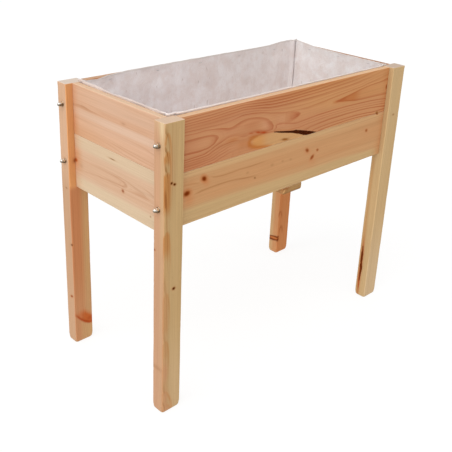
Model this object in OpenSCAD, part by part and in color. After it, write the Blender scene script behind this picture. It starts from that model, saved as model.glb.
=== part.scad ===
// Raised planter on legs: two dowelled end frames, joined by four
// tongue-and-groove side boards that are pulled against the legs by
// hanger bolts with domed cap nuts. A flat bearer across the middle and a
// cleat on each end board carry a slatted floor, and a felt liner is
// stapled inside the box.
// Millimetres, +Z up, origin on the ground under the middle of the planter.
// Front is -Y, left is -X.

/* [Overall size] */
// Length over the legs, along X
overall_l = 950; // [850:10:1300]
// Depth over the legs, along Y
overall_w = 450; // [430:10:600]
// Height to the top of the legs and boards
overall_h = 808; // [650:2:900]

/* [Legs] */
// Leg width along X
leg_x = 60; // [56:1:70]
// Leg thickness along Y
leg_y = 40; // [38:1:50]
// Chamfer on the four long edges of a leg
leg_ease = 2.8; // [1:0.2:3]
// Chamfer round the foot of a leg
foot_ease = 8; // [2:0.5:9]

/* [Boards] */
// Board thickness
board_t = 20; // [20:1:22]
// Face width of one side board
board_w = 140; // [120:5:140]
// Chamfer on the long edges of a board
board_ease = 1.4; // [0.8:0.2:2]
// How far the front and back boards sit behind the leg faces
long_recess = 15; // [12:1:16]
// How far the end boards sit behind the leg faces
end_recess = 21; // [16:1:24]
// Tongue thickness
tongue_t = 6; // [5:0.5:7]
// Tongue height
tongue_h = 6; // [5:0.5:7]

/* [Floor] */
// Thickness of the middle bearer
bearer_t = 19; // [16:1:20]
// Width of the middle bearer
bearer_w = 80; // [70:1:90]
// Radius on the lower long edges of the middle bearer
bearer_round = 7; // [3:1:7]
// Thickness of the end cleats, and how far the end boards reach below the floor
cleat_t = 16; // [14:1:20]
// Width of an end cleat
cleat_w = 25; // [22:1:32]
// Thickness of a floor slat
slat_t = 16; // [14:1:18]
// Number of floor slats
slat_n = 4; // [4]
// Drainage gap between floor slats
slat_gap = 6; // [4:1:10]

/* [Liner] */
// Thickness of the felt liner
liner_t = 2; // [1.5:0.5:3]

/* [Fasteners] */
// Diameter of a hanger bolt
bolt_d = 8; // [8]
// Bolt axis, from the outer face of the leg
bolt_in = 22; // [20:1:23]
// Upper bolt, below the top of the leg
bolt_drop_upper = 57; // [56:1:66]
// Lower bolt, below the top of the leg
bolt_drop_lower = 218; // [200:1:226]
// Diameter of an end board dowel
dowel_d = 8; // [8]

/* [Hidden] */
$fn = 48;

hl = overall_l / 2;
hw = overall_w / 2;
fit = 0.2;                              // clearance round a tongue

// Box body levels
z_top = overall_h;
z_joint = z_top - board_w;              // line between the two boards
z_bed = z_top - 2 * board_w;            // underside of the side boards
z_under = z_bed - bearer_t;             // underside of the bearer
z_end = z_bed - cleat_t;                // underside of the cleats and end boards
z_floor = z_bed + slat_t;               // top of the floor slats

// Inside faces of the boards and legs, from the middle of the planter
in_x = hl - end_recess - board_t;       // end boards
in_y = hw - long_recess - board_t;      // front and back boards
leg_in_x = hl - leg_x;
leg_in_y = hw - leg_y;

long_l = 2 * leg_in_x;                  // board length between the legs
end_l = 2 * leg_in_y;
long_y = hw - long_recess - board_t / 2;   // middle of a long board
end_x = hl - end_recess - board_t / 2;     // middle of an end board

bolt_y = hw - bolt_in;
bolt_z = [z_top - bolt_drop_upper, z_top - bolt_drop_lower];
bolt_hole = bolt_d + 1;                 // clearance hole in the leg
bolt_pilot = bolt_d + 0.2;              // hole in the board's end grain
bolt_bite = 48;                         // thread length in the board
washer_t = 1.6;
washer_d = 16;
nut_af = 13;
nut_hex = 6.5;
nut_h = 15;
nut_bore = 11.5;

dowel_half = 18;
dowel_hole = dowel_d + 0.2;
dowel_z = [z_top - 25, z_top - 110, z_joint - 30, z_joint - 118];

slat_span = 2 * leg_in_y - 4;           // all slats with their gaps
slat_w = (slat_span - (slat_n - 1) * slat_gap) / slat_n;
slat_l = 2 * in_x - 2;
cleat_x = in_x - cleat_w / 2;           // middle of an end cleat
slat_screw_x = [-cleat_x, 0, cleat_x];
cleat_screw_y = [-150, -50, 50, 150];

staple_drop = 9;                        // below the rim
staple_w = 10;
staple_wire = 1;
staple_long = [-330, -165, 0, 165, 330];
staple_end = [-120, 0, 120];

pine = "#d9ad7c";
pine_red = "#c98f5f";
pine_pale = "#e3c19a";

// ---- helpers -------------------------------------------------------

// Rectangle with chamfered corners, centred
module eased_rect(a, b, c) {
  polygon([
    [-a/2 + c, -b/2], [a/2 - c, -b/2], [a/2, -b/2 + c], [a/2, b/2 - c],
    [a/2 - c, b/2], [-a/2 + c, b/2], [-a/2, b/2 - c], [-a/2, -b/2 + c]
  ]);
}

// Side profile of a leg: large chamfer at the foot, small one at the top
module leg_profile(a) {
  t = 1.5;
  polygon([
    [-a/2 + foot_ease, 0], [a/2 - foot_ease, 0], [a/2, foot_ease],
    [a/2, overall_h - t], [a/2 - t, overall_h],
    [-a/2 + t, overall_h], [-a/2, overall_h - t], [-a/2, foot_ease]
  ]);
}

// Section of an upper board: plain top edge, groove in the bottom edge
module upper_section() {
  c = board_ease; t = board_t; g = tongue_t / 2 + fit; d = tongue_h + 2 * fit;
  polygon([
    [-t/2 + c, z_joint], [-g, z_joint], [-g, z_joint + d],
    [g, z_joint + d], [g, z_joint], [t/2 - c, z_joint],
    [t/2, z_joint + c], [t/2, z_top - c], [t/2 - c, z_top],
    [-t/2 + c, z_top], [-t/2, z_top - c], [-t/2, z_joint + c]
  ]);
}

// Section of a lower board: tongue on the top edge, plain bottom edge at z0
module lower_section(z0) {
  c = board_ease; t = board_t; g = tongue_t / 2;
  polygon([
    [-t/2 + c, z0], [t/2 - c, z0], [t/2, z0 + c],
    [t/2, z_joint - c], [t/2 - c, z_joint], [g, z_joint],
    [g, z_joint + tongue_h], [-g, z_joint + tongue_h],
    [-g, z_joint], [-t/2 + c, z_joint], [-t/2, z_joint - c],
    [-t/2, z0 + c]
  ]);
}

// Section of a bearer: square top edges, rounded bottom edges
module bearer_section() {
  r = bearer_round; w = bearer_w; t = bearer_t;
  union() {
    translate([-w/2, r]) square([w, t - r]);
    translate([-w/2 + r, 0]) square([w - 2 * r, t]);
    for (s = [-1, 1]) translate([s * (w/2 - r), r]) circle(r);
  }
}

// Bolt holes of one leg position, sx and sy are -1 or 1
module bolt_holes(sx, sy, d, from_x, to_x) {
  for (z = bolt_z)
    translate([sx * from_x, sy * bolt_y, z])
      rotate([0, sx * 90, 0])
        cylinder(h = to_x - from_x, d = d);
}

// Dowel holes at one end of the end boards
module dowel_holes(sx, sy, zs) {
  for (z = zs)
    translate([sx * end_x, sy * leg_in_y, z])
      rotate([90, 0, 0])
        cylinder(h = 2 * dowel_half + 1, d = dowel_hole, center = true);
}

// Two wire legs of a staple, along +Y from the inner face of the liner
module staple_legs(d, depth) {
  for (s = [-1, 1])
    translate([s * (staple_w / 2 - staple_wire / 2), 0, 0])
      rotate([-90, 0, 0]) cylinder(h = depth, d = d, $fn = 16);
}

// Places its children at each staple of the long walls or the end walls
module at_long_staples(sy) {
  for (x = staple_long)
    translate([x, sy * (in_y - 0.3 - liner_t), z_top - staple_drop])
      rotate([0, 0, sy > 0 ? 0 : 180]) children();
}
module at_end_staples(sx) {
  for (y = staple_end)
    translate([sx * (in_x - 0.3 - liner_t), y, z_top - staple_drop])
      rotate([0, 0, sx > 0 ? -90 : 90]) children();
}

// Countersunk wood screw, head flush at z = 0, pointing down
module wood_screw(d, l) {
  union() {
    translate([0, 0, -d/2]) cylinder(h = d/2, d1 = d, d2 = 2 * d);
    translate([0, 0, -(l - d)]) cylinder(h = l - d - d/2 + 0.01, d = d);
    translate([0, 0, -l]) cylinder(h = d, d1 = 0.4, d2 = d);
  }
}
// Matching hole: clearance shank and countersink
module screw_hole(d, l) {
  c = 0.15;
  translate([0, 0, -d/2 - c]) cylinder(h = d/2 + 2 * c, d1 = d, d2 = 2 * d + 4 * c);
  translate([0, 0, -l - 1]) cylinder(h = l + 1, d = d + 2 * c);
}

module at_slat_screws() {
  for (i = [0 : slat_n - 1], x = slat_screw_x, s = [-1, 1])
    translate([x, slat_y(i) + s * slat_w * 0.29, z_floor]) children();
}
module at_center_bearer_screws() {
  for (sx = [-1, 1], sy = [-1, 1])
    translate([sx * 20, sy * long_y, z_under]) mirror([0, 0, 1]) children();
}
// Through a cleat into the end board, head on the inner side of the cleat
module at_cleat_screws(sx) {
  for (y = cleat_screw_y)
    translate([sx * (in_x - cleat_w), y, z_end + cleat_t / 2])
      rotate([0, -sx * 90, 0]) children();
}

function slat_y(i) = -slat_span / 2 + slat_w / 2 + i * (slat_w + slat_gap);

// ---- timber --------------------------------------------------------

module leg(sx, sy) {
  difference() {
    translate([sx * (hl - leg_x / 2), sy * (hw - leg_y / 2), 0])
      intersection() {
        linear_extrude(overall_h) eased_rect(leg_x, leg_y, leg_ease);
        translate([0, leg_y / 2 + 1, 0]) rotate([90, 0, 0])
          linear_extrude(leg_y + 2) leg_profile(leg_x);
        translate([-leg_x / 2 - 1, 0, 0]) rotate([90, 0, 90])
          linear_extrude(leg_x + 2) leg_profile(leg_y);
      }
    bolt_holes(sx, sy, bolt_hole, leg_in_x - 1, hl + 1);
    dowel_holes(sx, sy, dowel_z);
  }
}
module leg_front_left() { color(pine) leg(-1, -1); }
module leg_front_right() { color(pine) leg(1, -1); }
module leg_back_left() { color(pine) leg(-1, 1); }
module leg_back_right() { color(pine) leg(1, 1); }

module long_board(sy, upper) {
  difference() {
    translate([-long_l / 2, sy * long_y, 0])
      rotate([90, 0, 90]) linear_extrude(long_l)
        if (upper) upper_section(); else lower_section(z_bed);
    for (sx = [-1, 1])
      translate([sx * (leg_in_x - bolt_bite - 2), sy * bolt_y, bolt_z[upper ? 0 : 1]])
        rotate([0, sx * 90, 0]) cylinder(h = bolt_bite + 3, d = bolt_pilot);
    if (upper)
      at_long_staples(sy) staple_legs(staple_wire + 0.2, 9);
    else
      at_center_bearer_screws() screw_hole(4.5, 50);
  }
}
module front_board_upper() { color(pine_red) long_board(-1, true); }
module front_board_lower() { color(pine) long_board(-1, false); }
module back_board_upper() { color(pine_red) long_board(1, true); }
module back_board_lower() { color(pine) long_board(1, false); }

module end_board(sx, upper) {
  difference() {
    translate([sx * end_x, end_l / 2, 0])
      rotate([90, 0, 0]) linear_extrude(end_l)
        if (upper) upper_section(); else lower_section(z_end);
    for (sy = [-1, 1])
      dowel_holes(sx, sy, upper ? [dowel_z[0], dowel_z[1]] : [dowel_z[2], dowel_z[3]]);
    if (upper)
      at_end_staples(sx) staple_legs(staple_wire + 0.2, 9);
    else
      at_cleat_screws(sx) screw_hole(4, 40);
  }
}
module left_end_board_upper() { color(pine_pale) end_board(-1, true); }
module left_end_board_lower() { color(pine_pale) end_board(-1, false); }
module right_end_board_upper() { color(pine_pale) end_board(1, true); }
module right_end_board_lower() { color(pine_pale) end_board(1, false); }

// Bearer across the middle, under the long boards
module center_bearer() {
  len = overall_w - 2 * long_recess;
  color(pine) difference() {
    translate([0, len / 2, z_under]) rotate([90, 0, 0])
      linear_extrude(len) bearer_section();
    at_center_bearer_screws() screw_hole(4.5, 50);
    at_slat_screws() screw_hole(4, 30);
  }
}

// Cleat between the legs, on the inner face of an end board
module floor_cleat(sx) {
  len = end_l - 2;
  difference() {
    translate([sx * cleat_x, len / 2, z_end + cleat_t / 2]) rotate([90, 0, 0])
      linear_extrude(len) eased_rect(cleat_w, cleat_t, 1);
    at_cleat_screws(sx) screw_hole(4, 40);
    at_slat_screws() screw_hole(4, 30);
  }
}
module left_floor_cleat() { color(pine) floor_cleat(-1); }
module right_floor_cleat() { color(pine) floor_cleat(1); }

module floor_slat(i) {
  difference() {
    translate([-slat_l / 2, slat_y(i), z_bed + slat_t / 2])
      rotate([90, 0, 90]) linear_extrude(slat_l)
        eased_rect(slat_w, slat_t, 1);
    at_slat_screws() screw_hole(4, 30);
  }
}
module floor_slat_front() { color(pine_pale) floor_slat(0); }
module floor_slat_mid_front() { color(pine_pale) floor_slat(1); }
module floor_slat_mid_back() { color(pine_pale) floor_slat(2); }
module floor_slat_back() { color(pine_pale) floor_slat(3); }

// ---- liner ---------------------------------------------------------

// Inside outline of the box, stepped round the legs, shrunk by g
module liner_outline(g) {
  union() {
    square([2 * (in_x - g), 2 * (leg_in_y - g)], center = true);
    square([2 * (leg_in_x - g), 2 * (in_y - g)], center = true);
  }
}
module fabric_liner() {
  z0 = z_floor + 0.3;
  color("#ded6d2") difference() {
    translate([0, 0, z0]) linear_extrude(z_top - z0) liner_outline(0.3);
    translate([0, 0, z0 + liner_t]) linear_extrude(z_top - z0) liner_outline(0.3 + liner_t);
    for (s = [-1, 1]) {
      at_long_staples(s) staple_legs(staple_wire + 0.2, 9);
      at_end_staples(s) staple_legs(staple_wire + 0.2, 9);
    }
  }
}

module staple() {
  union() {
    translate([-staple_w / 2, -staple_wire, -staple_wire / 2])
      cube([staple_w, staple_wire, staple_wire]);
    translate([0, -staple_wire / 2, 0]) staple_legs(staple_wire, 8);
  }
}
module liner_staples() {
  color("silver") for (s = [-1, 1]) {
    at_long_staples(s) staple();
    at_end_staples(s) staple();
  }
}

// ---- hardware ------------------------------------------------------

// Places its children on a bolt axis, +Z pointing out of the leg's face
module at_bolts() {
  for (sx = [-1, 1], sy = [-1, 1], z = bolt_z)
    translate([sx * hl, sy * bolt_y, z]) rotate([0, sx * 90, 0]) children();
}

// Stud with a wood-screw end and a machine-thread end
module hanger_bolt() {
  d = bolt_d - 0.2;
  tip = 8;
  union() {
    translate([0, 0, -(leg_x + bolt_bite - tip)])
      cylinder(h = leg_x + bolt_bite - tip + washer_t + nut_bore - 2, d = d);
    translate([0, 0, -(leg_x + bolt_bite)])
      cylinder(h = tip, d1 = 1, d2 = d);
    translate([0, 0, washer_t + nut_bore - 2])
      cylinder(h = 1, d1 = d, d2 = d - 2);
  }
}
module hanger_bolts() { color("silver") at_bolts() hanger_bolt(); }

module washer() {
  difference() {
    cylinder(h = washer_t, d = washer_d);
    translate([0, 0, -1]) cylinder(h = washer_t + 2, d = bolt_d + 0.4);
  }
}
module washers() { color("silver") at_bolts() washer(); }

module cap_nut() {
  r = nut_af / 2 - 0.25;
  cyl = nut_h - r;                      // where the dome starts
  difference() {
    union() {
      intersection() {
        cylinder(h = nut_hex, d = nut_af / cos(30), $fn = 6);
        cylinder(h = nut_hex, r1 = nut_af / 2 + 4, r2 = nut_af / 2);
        translate([0, 0, -3.5]) cylinder(h = nut_hex + 3.5, r1 = nut_af / 2 - 3, r2 = nut_af / 2 + 7);
      }
      cylinder(h = cyl, r = r);
      translate([0, 0, cyl]) intersection() {
        sphere(r);
        cylinder(h = r + 1, r = r + 1);
      }
    }
    translate([0, 0, -1]) cylinder(h = nut_bore + 1, d = bolt_d);
  }
}
module cap_nuts() { color("gainsboro") at_bolts() translate([0, 0, washer_t]) cap_nut(); }

module end_board_dowels() {
  color("burlywood")
    for (sx = [-1, 1], sy = [-1, 1], z = dowel_z)
      translate([sx * end_x, sy * leg_in_y, z]) rotate([90, 0, 0])
        intersection() {
          cylinder(h = 2 * dowel_half, d = dowel_d, center = true);
          cylinder(h = 2 * dowel_half, r1 = dowel_d/2 - 1, r2 = dowel_d/2 - 1 + 2 * dowel_half, center = true);
          cylinder(h = 2 * dowel_half, r1 = dowel_d/2 - 1 + 2 * dowel_half, r2 = dowel_d/2 - 1, center = true);
        }
}

module bearer_screws() {
  color("silver") {
    at_center_bearer_screws() wood_screw(4.5, 50);
  }
}
module cleat_screws() {
  color("silver") {
    at_cleat_screws(-1) wood_screw(4, 40);
    at_cleat_screws(1) wood_screw(4, 40);
  }
}
module slat_screws() { color("silver") at_slat_screws() wood_screw(4, 30); }

// ---- assembly ------------------------------------------------------

leg_front_left();
leg_front_right();
leg_back_left();
leg_back_right();
front_board_upper();
front_board_lower();
back_board_upper();
back_board_lower();
left_end_board_upper();
left_end_board_lower();
right_end_board_upper();
right_end_board_lower();
center_bearer();
left_floor_cleat();
right_floor_cleat();
floor_slat_front();
floor_slat_mid_front();
floor_slat_mid_back();
floor_slat_back();
fabric_liner();
liner_staples();
hanger_bolts();
washers();
cap_nuts();
end_board_dowels();
bearer_screws();
cleat_screws();
slat_screws();
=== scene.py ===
import math

import bmesh
import bpy
import numpy as np
from mathutils import Matrix, Vector


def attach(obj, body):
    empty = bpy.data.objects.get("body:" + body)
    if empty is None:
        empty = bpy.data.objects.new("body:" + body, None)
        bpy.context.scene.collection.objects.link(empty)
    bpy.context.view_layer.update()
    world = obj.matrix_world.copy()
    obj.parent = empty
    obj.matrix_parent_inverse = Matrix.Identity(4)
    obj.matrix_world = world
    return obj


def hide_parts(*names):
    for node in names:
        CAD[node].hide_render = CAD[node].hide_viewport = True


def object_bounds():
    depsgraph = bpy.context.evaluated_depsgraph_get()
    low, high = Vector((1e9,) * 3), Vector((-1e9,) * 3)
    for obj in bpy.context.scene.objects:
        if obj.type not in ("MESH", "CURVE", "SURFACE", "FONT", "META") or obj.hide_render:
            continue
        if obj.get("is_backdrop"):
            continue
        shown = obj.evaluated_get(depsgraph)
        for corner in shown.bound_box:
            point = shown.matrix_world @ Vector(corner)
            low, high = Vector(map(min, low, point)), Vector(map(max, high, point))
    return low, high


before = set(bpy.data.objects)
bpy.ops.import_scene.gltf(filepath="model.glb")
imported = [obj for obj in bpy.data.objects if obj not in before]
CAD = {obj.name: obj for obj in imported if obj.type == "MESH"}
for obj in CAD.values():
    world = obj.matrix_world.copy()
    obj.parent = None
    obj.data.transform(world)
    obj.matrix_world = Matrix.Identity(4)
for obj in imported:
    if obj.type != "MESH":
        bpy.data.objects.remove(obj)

CAD_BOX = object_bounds()

# --------------------------------------------------------------------------
# small helpers
# --------------------------------------------------------------------------

MM = 0.001
DZ = 8.0   # heights below are counted down from a rim at 800, the rim is at 808


def srgb(r, g, b, k=1.0):
    """0-255 display colour to linear."""
    out = []
    for c in (r, g, b):
        c = c / 255.0
        c = c / 12.92 if c <= 0.04045 else ((c + 0.055) / 1.055) ** 2.4
        out.append(min(1.0, c * k))
    return tuple(out)


def sstep(x, a, b):
    """Smooth step of x from a to b (b may be below a)."""
    t = np.clip((np.asarray(x, float) - a) / (b - a), 0.0, 1.0)
    return t * t * (3 - 2 * t)


def _hash(i, j, k, seed):
    h = (i * 374761393 + j * 668265263 + k * 1440662683 + seed * 1274126177) & 0xFFFFFFFF
    h = ((h ^ (h >> 13)) * 1274126177) & 0xFFFFFFFF
    h = ((h ^ (h >> 15)) * 2246822519) & 0xFFFFFFFF
    return ((h ^ (h >> 16)) & 0xFFFFFF) / float(0x1000000)


def vnoise(p, seed=0):
    """Value noise in 0..1 at points p (N, 3)."""
    p = np.asarray(p, float)
    i = np.floor(p).astype(np.int64)
    f = p - i
    f = f * f * f * (f * (f * 6 - 15) + 10)
    out = np.zeros(len(p))
    for dx in (0, 1):
        wx = f[:, 0] if dx else 1 - f[:, 0]
        for dy in (0, 1):
            wy = f[:, 1] if dy else 1 - f[:, 1]
            for dz in (0, 1):
                wz = f[:, 2] if dz else 1 - f[:, 2]
                out += wx * wy * wz * _hash(i[:, 0] + dx, i[:, 1] + dy, i[:, 2] + dz, seed)
    return out


def fbm(p, seed=0, octaves=3, gain=0.5):
    p = np.asarray(p, float)
    out = np.zeros(len(p))
    amp = tot = 1.0
    out += vnoise(p, seed)
    for o in range(1, octaves):
        p = p * 2.03 + 11.7
        amp *= gain
        tot += amp
        out += amp * vnoise(p, seed + o * 17)
    return out / tot


def n1(u, seed, scale):
    u = np.asarray(u, float)
    return vnoise(np.stack([u / scale, np.full_like(u, 0.37), np.full_like(u, 0.61)], -1), seed)


# --------------------------------------------------------------------------
# growth-ring fields
# --------------------------------------------------------------------------

class RingMap:
    """Growth-ring number over a board face, a smooth surface through the given
    ring lines. lines is [(level, [(u, v), ...])], su and sv stretch the axes."""

    def __init__(self, lines, su=3.0, sv=1.0, gap=28.0, smooth=0.02):
        pts, val = [], []
        for level, line in lines:
            line = np.asarray(line, float)
            if len(line) == 1:
                pts.append(line[0])
                val.append(level)
                continue
            for a, b in zip(line[:-1], line[1:]):
                d = math.hypot((b[0] - a[0]), (b[1] - a[1]) * su / sv)
                n = max(1, int(math.ceil(d / gap)))
                for t in range(n):
                    pts.append(a + (b - a) * t / n)
                    val.append(level)
            pts.append(line[-1])
            val.append(level)
        p = np.asarray(pts) / (su, sv)
        self.s = np.array([su, sv])
        self.c = p.mean(0)
        p = p - self.c
        self.p = p
        n = len(p)
        k = self._k(np.linalg.norm(p[:, None] - p[None], axis=-1)) + np.eye(n) * smooth * 100
        q = np.concatenate([np.ones((n, 1)), p], 1)
        a = np.block([[k, q], [q.T, np.zeros((3, 3))]])
        w = np.linalg.solve(a, np.concatenate([np.asarray(val, float), np.zeros(3)]))
        self.w, self.l = w[:n], w[n:]

    @staticmethod
    def _k(r):
        return np.where(r > 1e-9, r * r * np.log(np.maximum(r, 1e-9)), 0.0)

    def __call__(self, u, v):
        x = np.stack([np.asarray(u, float), np.asarray(v, float)], -1) / self.s - self.c
        out = np.empty(len(x))
        for i in range(0, len(x), 4000):
            c = x[i:i + 4000]
            r = np.linalg.norm(c[:, None] - self.p[None], axis=-1)
            out[i:i + 4000] = self._k(r) @ self.w + self.l[0] + c @ self.l[1:]
        return out


def log_rings(u, v, w, seed, pith=(0.0, 60.0), tilt=(0.0, 0.0), gap=7.0, wander=10.0, knots=()):
    """Ring number in a plain sawn piece (all mm): u along the grain, v across the
    face, w into the thickness. The pith runs beside the piece, tilted a little."""
    v0 = pith[0] + tilt[0] * u + wander * (n1(u, seed, 260.0) - 0.5) * 2
    w0 = pith[1] + tilt[1] * u + wander * (n1(u, seed + 5, 310.0) - 0.5) * 2
    r = np.hypot(v - v0, w - w0)
    p = np.stack([u / 150.0, v / 34.0, w / 34.0], -1)
    ring = r / gap + 1.1 * (fbm(p, seed + 9, 2) - 0.5)
    for ku, kv, kr in knots:
        d2 = ((u - ku) / (3.4 * kr)) ** 2 + ((v - kv) / (2.2 * kr)) ** 2
        ring -= (v - kv) / gap * 0.75 * np.exp(-d2) * np.sign(pith[0] - kv if abs(pith[0] - kv) > 1 else 1) * -1
    return ring


def blob(u, v, cu, cv, ru, rv, rot=0.0, soft=1.0):
    """Soft ellipse mask, 1 at the centre."""
    c, s = math.cos(math.radians(rot)), math.sin(math.radians(rot))
    a = ((u - cu) * c + (v - cv) * s) / ru
    b = (-(u - cu) * s + (v - cv) * c) / rv
    return np.exp(-(a * a + b * b) ** soft)


def poly_mask(u, v, poly, width):
    """1 inside the polygon, 0 outside, blended over width."""
    poly = np.asarray(poly, float)
    a, b = poly, np.roll(poly, -1, 0)
    p = np.stack([u, v], -1)
    best = np.full(len(p), 1e9)
    inside = np.zeros(len(p), bool)
    for (x0, y0), (x1, y1) in zip(a, b):
        d = np.array([x1 - x0, y1 - y0])
        t = np.clip(((p - (x0, y0)) @ d) / max(1e-9, d @ d), 0, 1)
        best = np.minimum(best, np.hypot(p[:, 0] - x0 - t * d[0], p[:, 1] - y0 - t * d[1]))
        cross = (y0 > p[:, 1]) != (y1 > p[:, 1])
        with np.errstate(divide="ignore", invalid="ignore"):
            xi = (x1 - x0) * (p[:, 1] - y0) / (y1 - y0) + x0
        inside ^= cross & (p[:, 0] < xi)
    sd = np.where(inside, best, -best)
    return sstep(sd, -width, width)


def line_dist(u, v, line):
    """Distance to a polyline and the place along it, 0 to 1."""
    line = np.asarray(line, float)
    p = np.stack([u, v], -1)
    best = np.full(len(p), 1e9)
    at = np.zeros(len(p))
    seg = np.linalg.norm(np.diff(line, axis=0), axis=1)
    cum = np.concatenate([[0], np.cumsum(seg)])
    for i, (a, b) in enumerate(zip(line[:-1], line[1:])):
        d = b - a
        t = np.clip(((p - a) @ d) / max(1e-9, d @ d), 0, 1)
        dd = np.hypot(*(p - a - t[:, None] * d).T)
        m = dd < best
        best = np.where(m, dd, best)
        at = np.where(m, (cum[i] + t * seg[i]) / cum[-1], at)
    return best, at


# --------------------------------------------------------------------------
# meshes
# --------------------------------------------------------------------------

def add_mesh(name, co, faces, mat, nodes=(), attrs=None, sharp=38.0):
    me = bpy.data.meshes.new(name)
    me.from_pydata(np.asarray(co, float).tolist(), [], [tuple(int(i) for i in f) for f in faces])
    bm = bmesh.new()
    bm.from_mesh(me)
    bmesh.ops.recalc_face_normals(bm, faces=bm.faces)
    big = [f for f in bm.faces if len(f.verts) > 4]
    if big:
        bmesh.ops.triangulate(bm, faces=big, quad_method="BEAUTY", ngon_method="EAR_CLIP")
    bm.to_mesh(me)
    bm.free()
    for k, a in (attrs or {}).items():
        at = me.attributes.new(k, "FLOAT", "POINT")
        at.data.foreach_set("value", np.asarray(a, np.float32))
    me.polygons.foreach_set("use_smooth", [True] * len(me.polygons))
    me.update()
    if sharp:
        me.set_sharp_from_angle(angle=math.radians(sharp))
    ob = bpy.data.objects.new(name, me)
    bpy.context.scene.collection.objects.link(ob)
    me.materials.append(mat)
    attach(ob, "root")
    if nodes:
        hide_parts(*nodes)
    return ob


def spaced(a, b, step):
    """Points from a to b with about the spacing step(x) says, ends kept."""
    xs = [a]
    while xs[-1] < b - 1e-9:
        xs.append(xs[-1] + max(0.05, float(step(xs[-1]))))
    xs = np.array(xs)
    if len(xs) > 2 and (xs[-1] - b) > (b - xs[-2]):
        xs = xs[:-1]
    return a + (xs - a) * (b - a) / (xs[-1] - a)


def outline(corners, step, segs=3):
    """Closed section from corners (a, b, radius), right-angled, each edge split
    by step(a, b). Returns points and outward normals."""
    n = len(corners)
    c = np.array([[q[0], q[1]] for q in corners], float)
    r = [q[2] for q in corners]
    out = []
    for i in range(n):
        d0 = c[i] - c[i - 1]
        d1 = c[(i + 1) % n] - c[i]
        d0, d1 = d0 / np.linalg.norm(d0), d1 / np.linalg.norm(d1)
        p_in = c[i] - d0 * r[i]
        if r[i] > 1e-6:
            for k in range(segs + 1):
                t = math.pi / 2 * k / segs
                out.append(p_in + d0 * r[i] * math.sin(t) + d1 * r[i] * (1 - math.cos(t)))
        else:
            out.append(c[i])
        a = out[-1]
        b = c[(i + 1) % n] - d1 * r[(i + 1) % n]
        length = np.linalg.norm(b - a)
        if length > 1e-6:
            ts = spaced(0.0, length, lambda s: step(*(a + d1 * s)))
            for s in ts[1:-1]:
                out.append(a + d1 * s)
            if r[(i + 1) % n] <= 1e-6:
                pass
    p = np.array(out)
    keep = np.linalg.norm(p - np.roll(p, 1, 0), axis=1) > 1e-5
    p = p[keep]
    e = np.roll(p, -1, 0) - p
    e = e / np.linalg.norm(e, axis=1)[:, None]
    nrm = np.stack([e[:, 1], -e[:, 0]], -1) + np.roll(np.stack([e[:, 1], -e[:, 0]], -1), 1, 0)
    nrm /= np.linalg.norm(nrm, axis=1)[:, None]
    area = 0.5 * np.sum(p[:, 0] * np.roll(p[:, 1], -1) - np.roll(p[:, 0], -1) * p[:, 1])
    if area < 0:
        nrm = -nrm
    return p, nrm


def sweep(section, normals, stations, end_r=1.2, segs=3):
    """Sweep a section along the grain between the first and last station, ends
    eased by end_r. Returns (s, a, b) coordinates (mm) and faces."""
    s0, s1 = stations[0], stations[-1]
    mid = [s for s in stations if s0 + end_r * 1.2 < s < s1 - end_r * 1.2]
    rows = []
    for k in range(segs + 1):
        t = math.pi / 2 * k / segs
        rows.append((s0 + end_r * (1 - math.cos(t)), end_r * (1 - math.sin(t))))
    rows += [(s, 0.0) for s in mid]
    for k in range(segs, -1, -1):
        t = math.pi / 2 * k / segs
        rows.append((s1 - end_r * (1 - math.cos(t)), end_r * (1 - math.sin(t))))
    m = len(section)
    co = []
    for s, inset in rows:
        q = section - normals * inset
        co.append(np.concatenate([np.full((m, 1), s), q], 1))
    co = np.concatenate(co)
    faces = []
    for r in range(len(rows) - 1):
        o = r * m
        for i in range(m):
            j = (i + 1) % m
            faces.append((o + i, o + j, o + m + j, o + m + i))
    faces.append(tuple(range(m - 1, -1, -1)))
    o = (len(rows) - 1) * m
    faces.append(tuple(range(o, o + m)))
    return co, faces


def lattice(xs, ys, zs, skip=()):
    """Shared-vertex grid over the surface of a box. Returns co and quads."""
    nx, ny, nz = len(xs), len(ys), len(zs)
    idx, co, faces = {}, [], []

    def vid(i, j, k):
        key = (i, j, k)
        if key not in idx:
            idx[key] = len(co)
            co.append((xs[i], ys[j], zs[k]))
        return idx[key]

    for i in range(nx - 1):
        for j in range(ny - 1):
            if "-z" not in skip:
                faces.append((vid(i, j, 0), vid(i, j + 1, 0), vid(i + 1, j + 1, 0), vid(i + 1, j, 0)))
            if "+z" not in skip:
                k = nz - 1
                faces.append((vid(i, j, k), vid(i + 1, j, k), vid(i + 1, j + 1, k), vid(i, j + 1, k)))
    for i in range(nx - 1):
        for k in range(nz - 1):
            faces.append((vid(i, 0, k), vid(i + 1, 0, k), vid(i + 1, 0, k + 1), vid(i, 0, k + 1)))
            j = ny - 1
            faces.append((vid(i, j, k), vid(i, j, k + 1), vid(i + 1, j, k + 1), vid(i + 1, j, k)))
    for j in range(ny - 1):
        for k in range(nz - 1):
            faces.append((vid(0, j, k), vid(0, j, k + 1), vid(0, j + 1, k + 1), vid(0, j + 1, k)))
            i = nx - 1
            faces.append((vid(i, j, k), vid(i, j + 1, k), vid(i, j + 1, k + 1), vid(i, j, k + 1)))
    return np.array(co, float), faces


def band(lo, hi, radii, step):
    """Grid lines from lo to hi with extra lines in the rounded bands."""
    edge = sorted({0.0} | {f * r for r in radii for f in (0.268, 0.577, 1.0)})
    a = [lo + e for e in edge]
    b = [hi - e for e in edge][::-1]
    inner = spaced(a[-1], b[0], step)
    return np.array(a[:-1] + list(inner) + b[1:])


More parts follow.
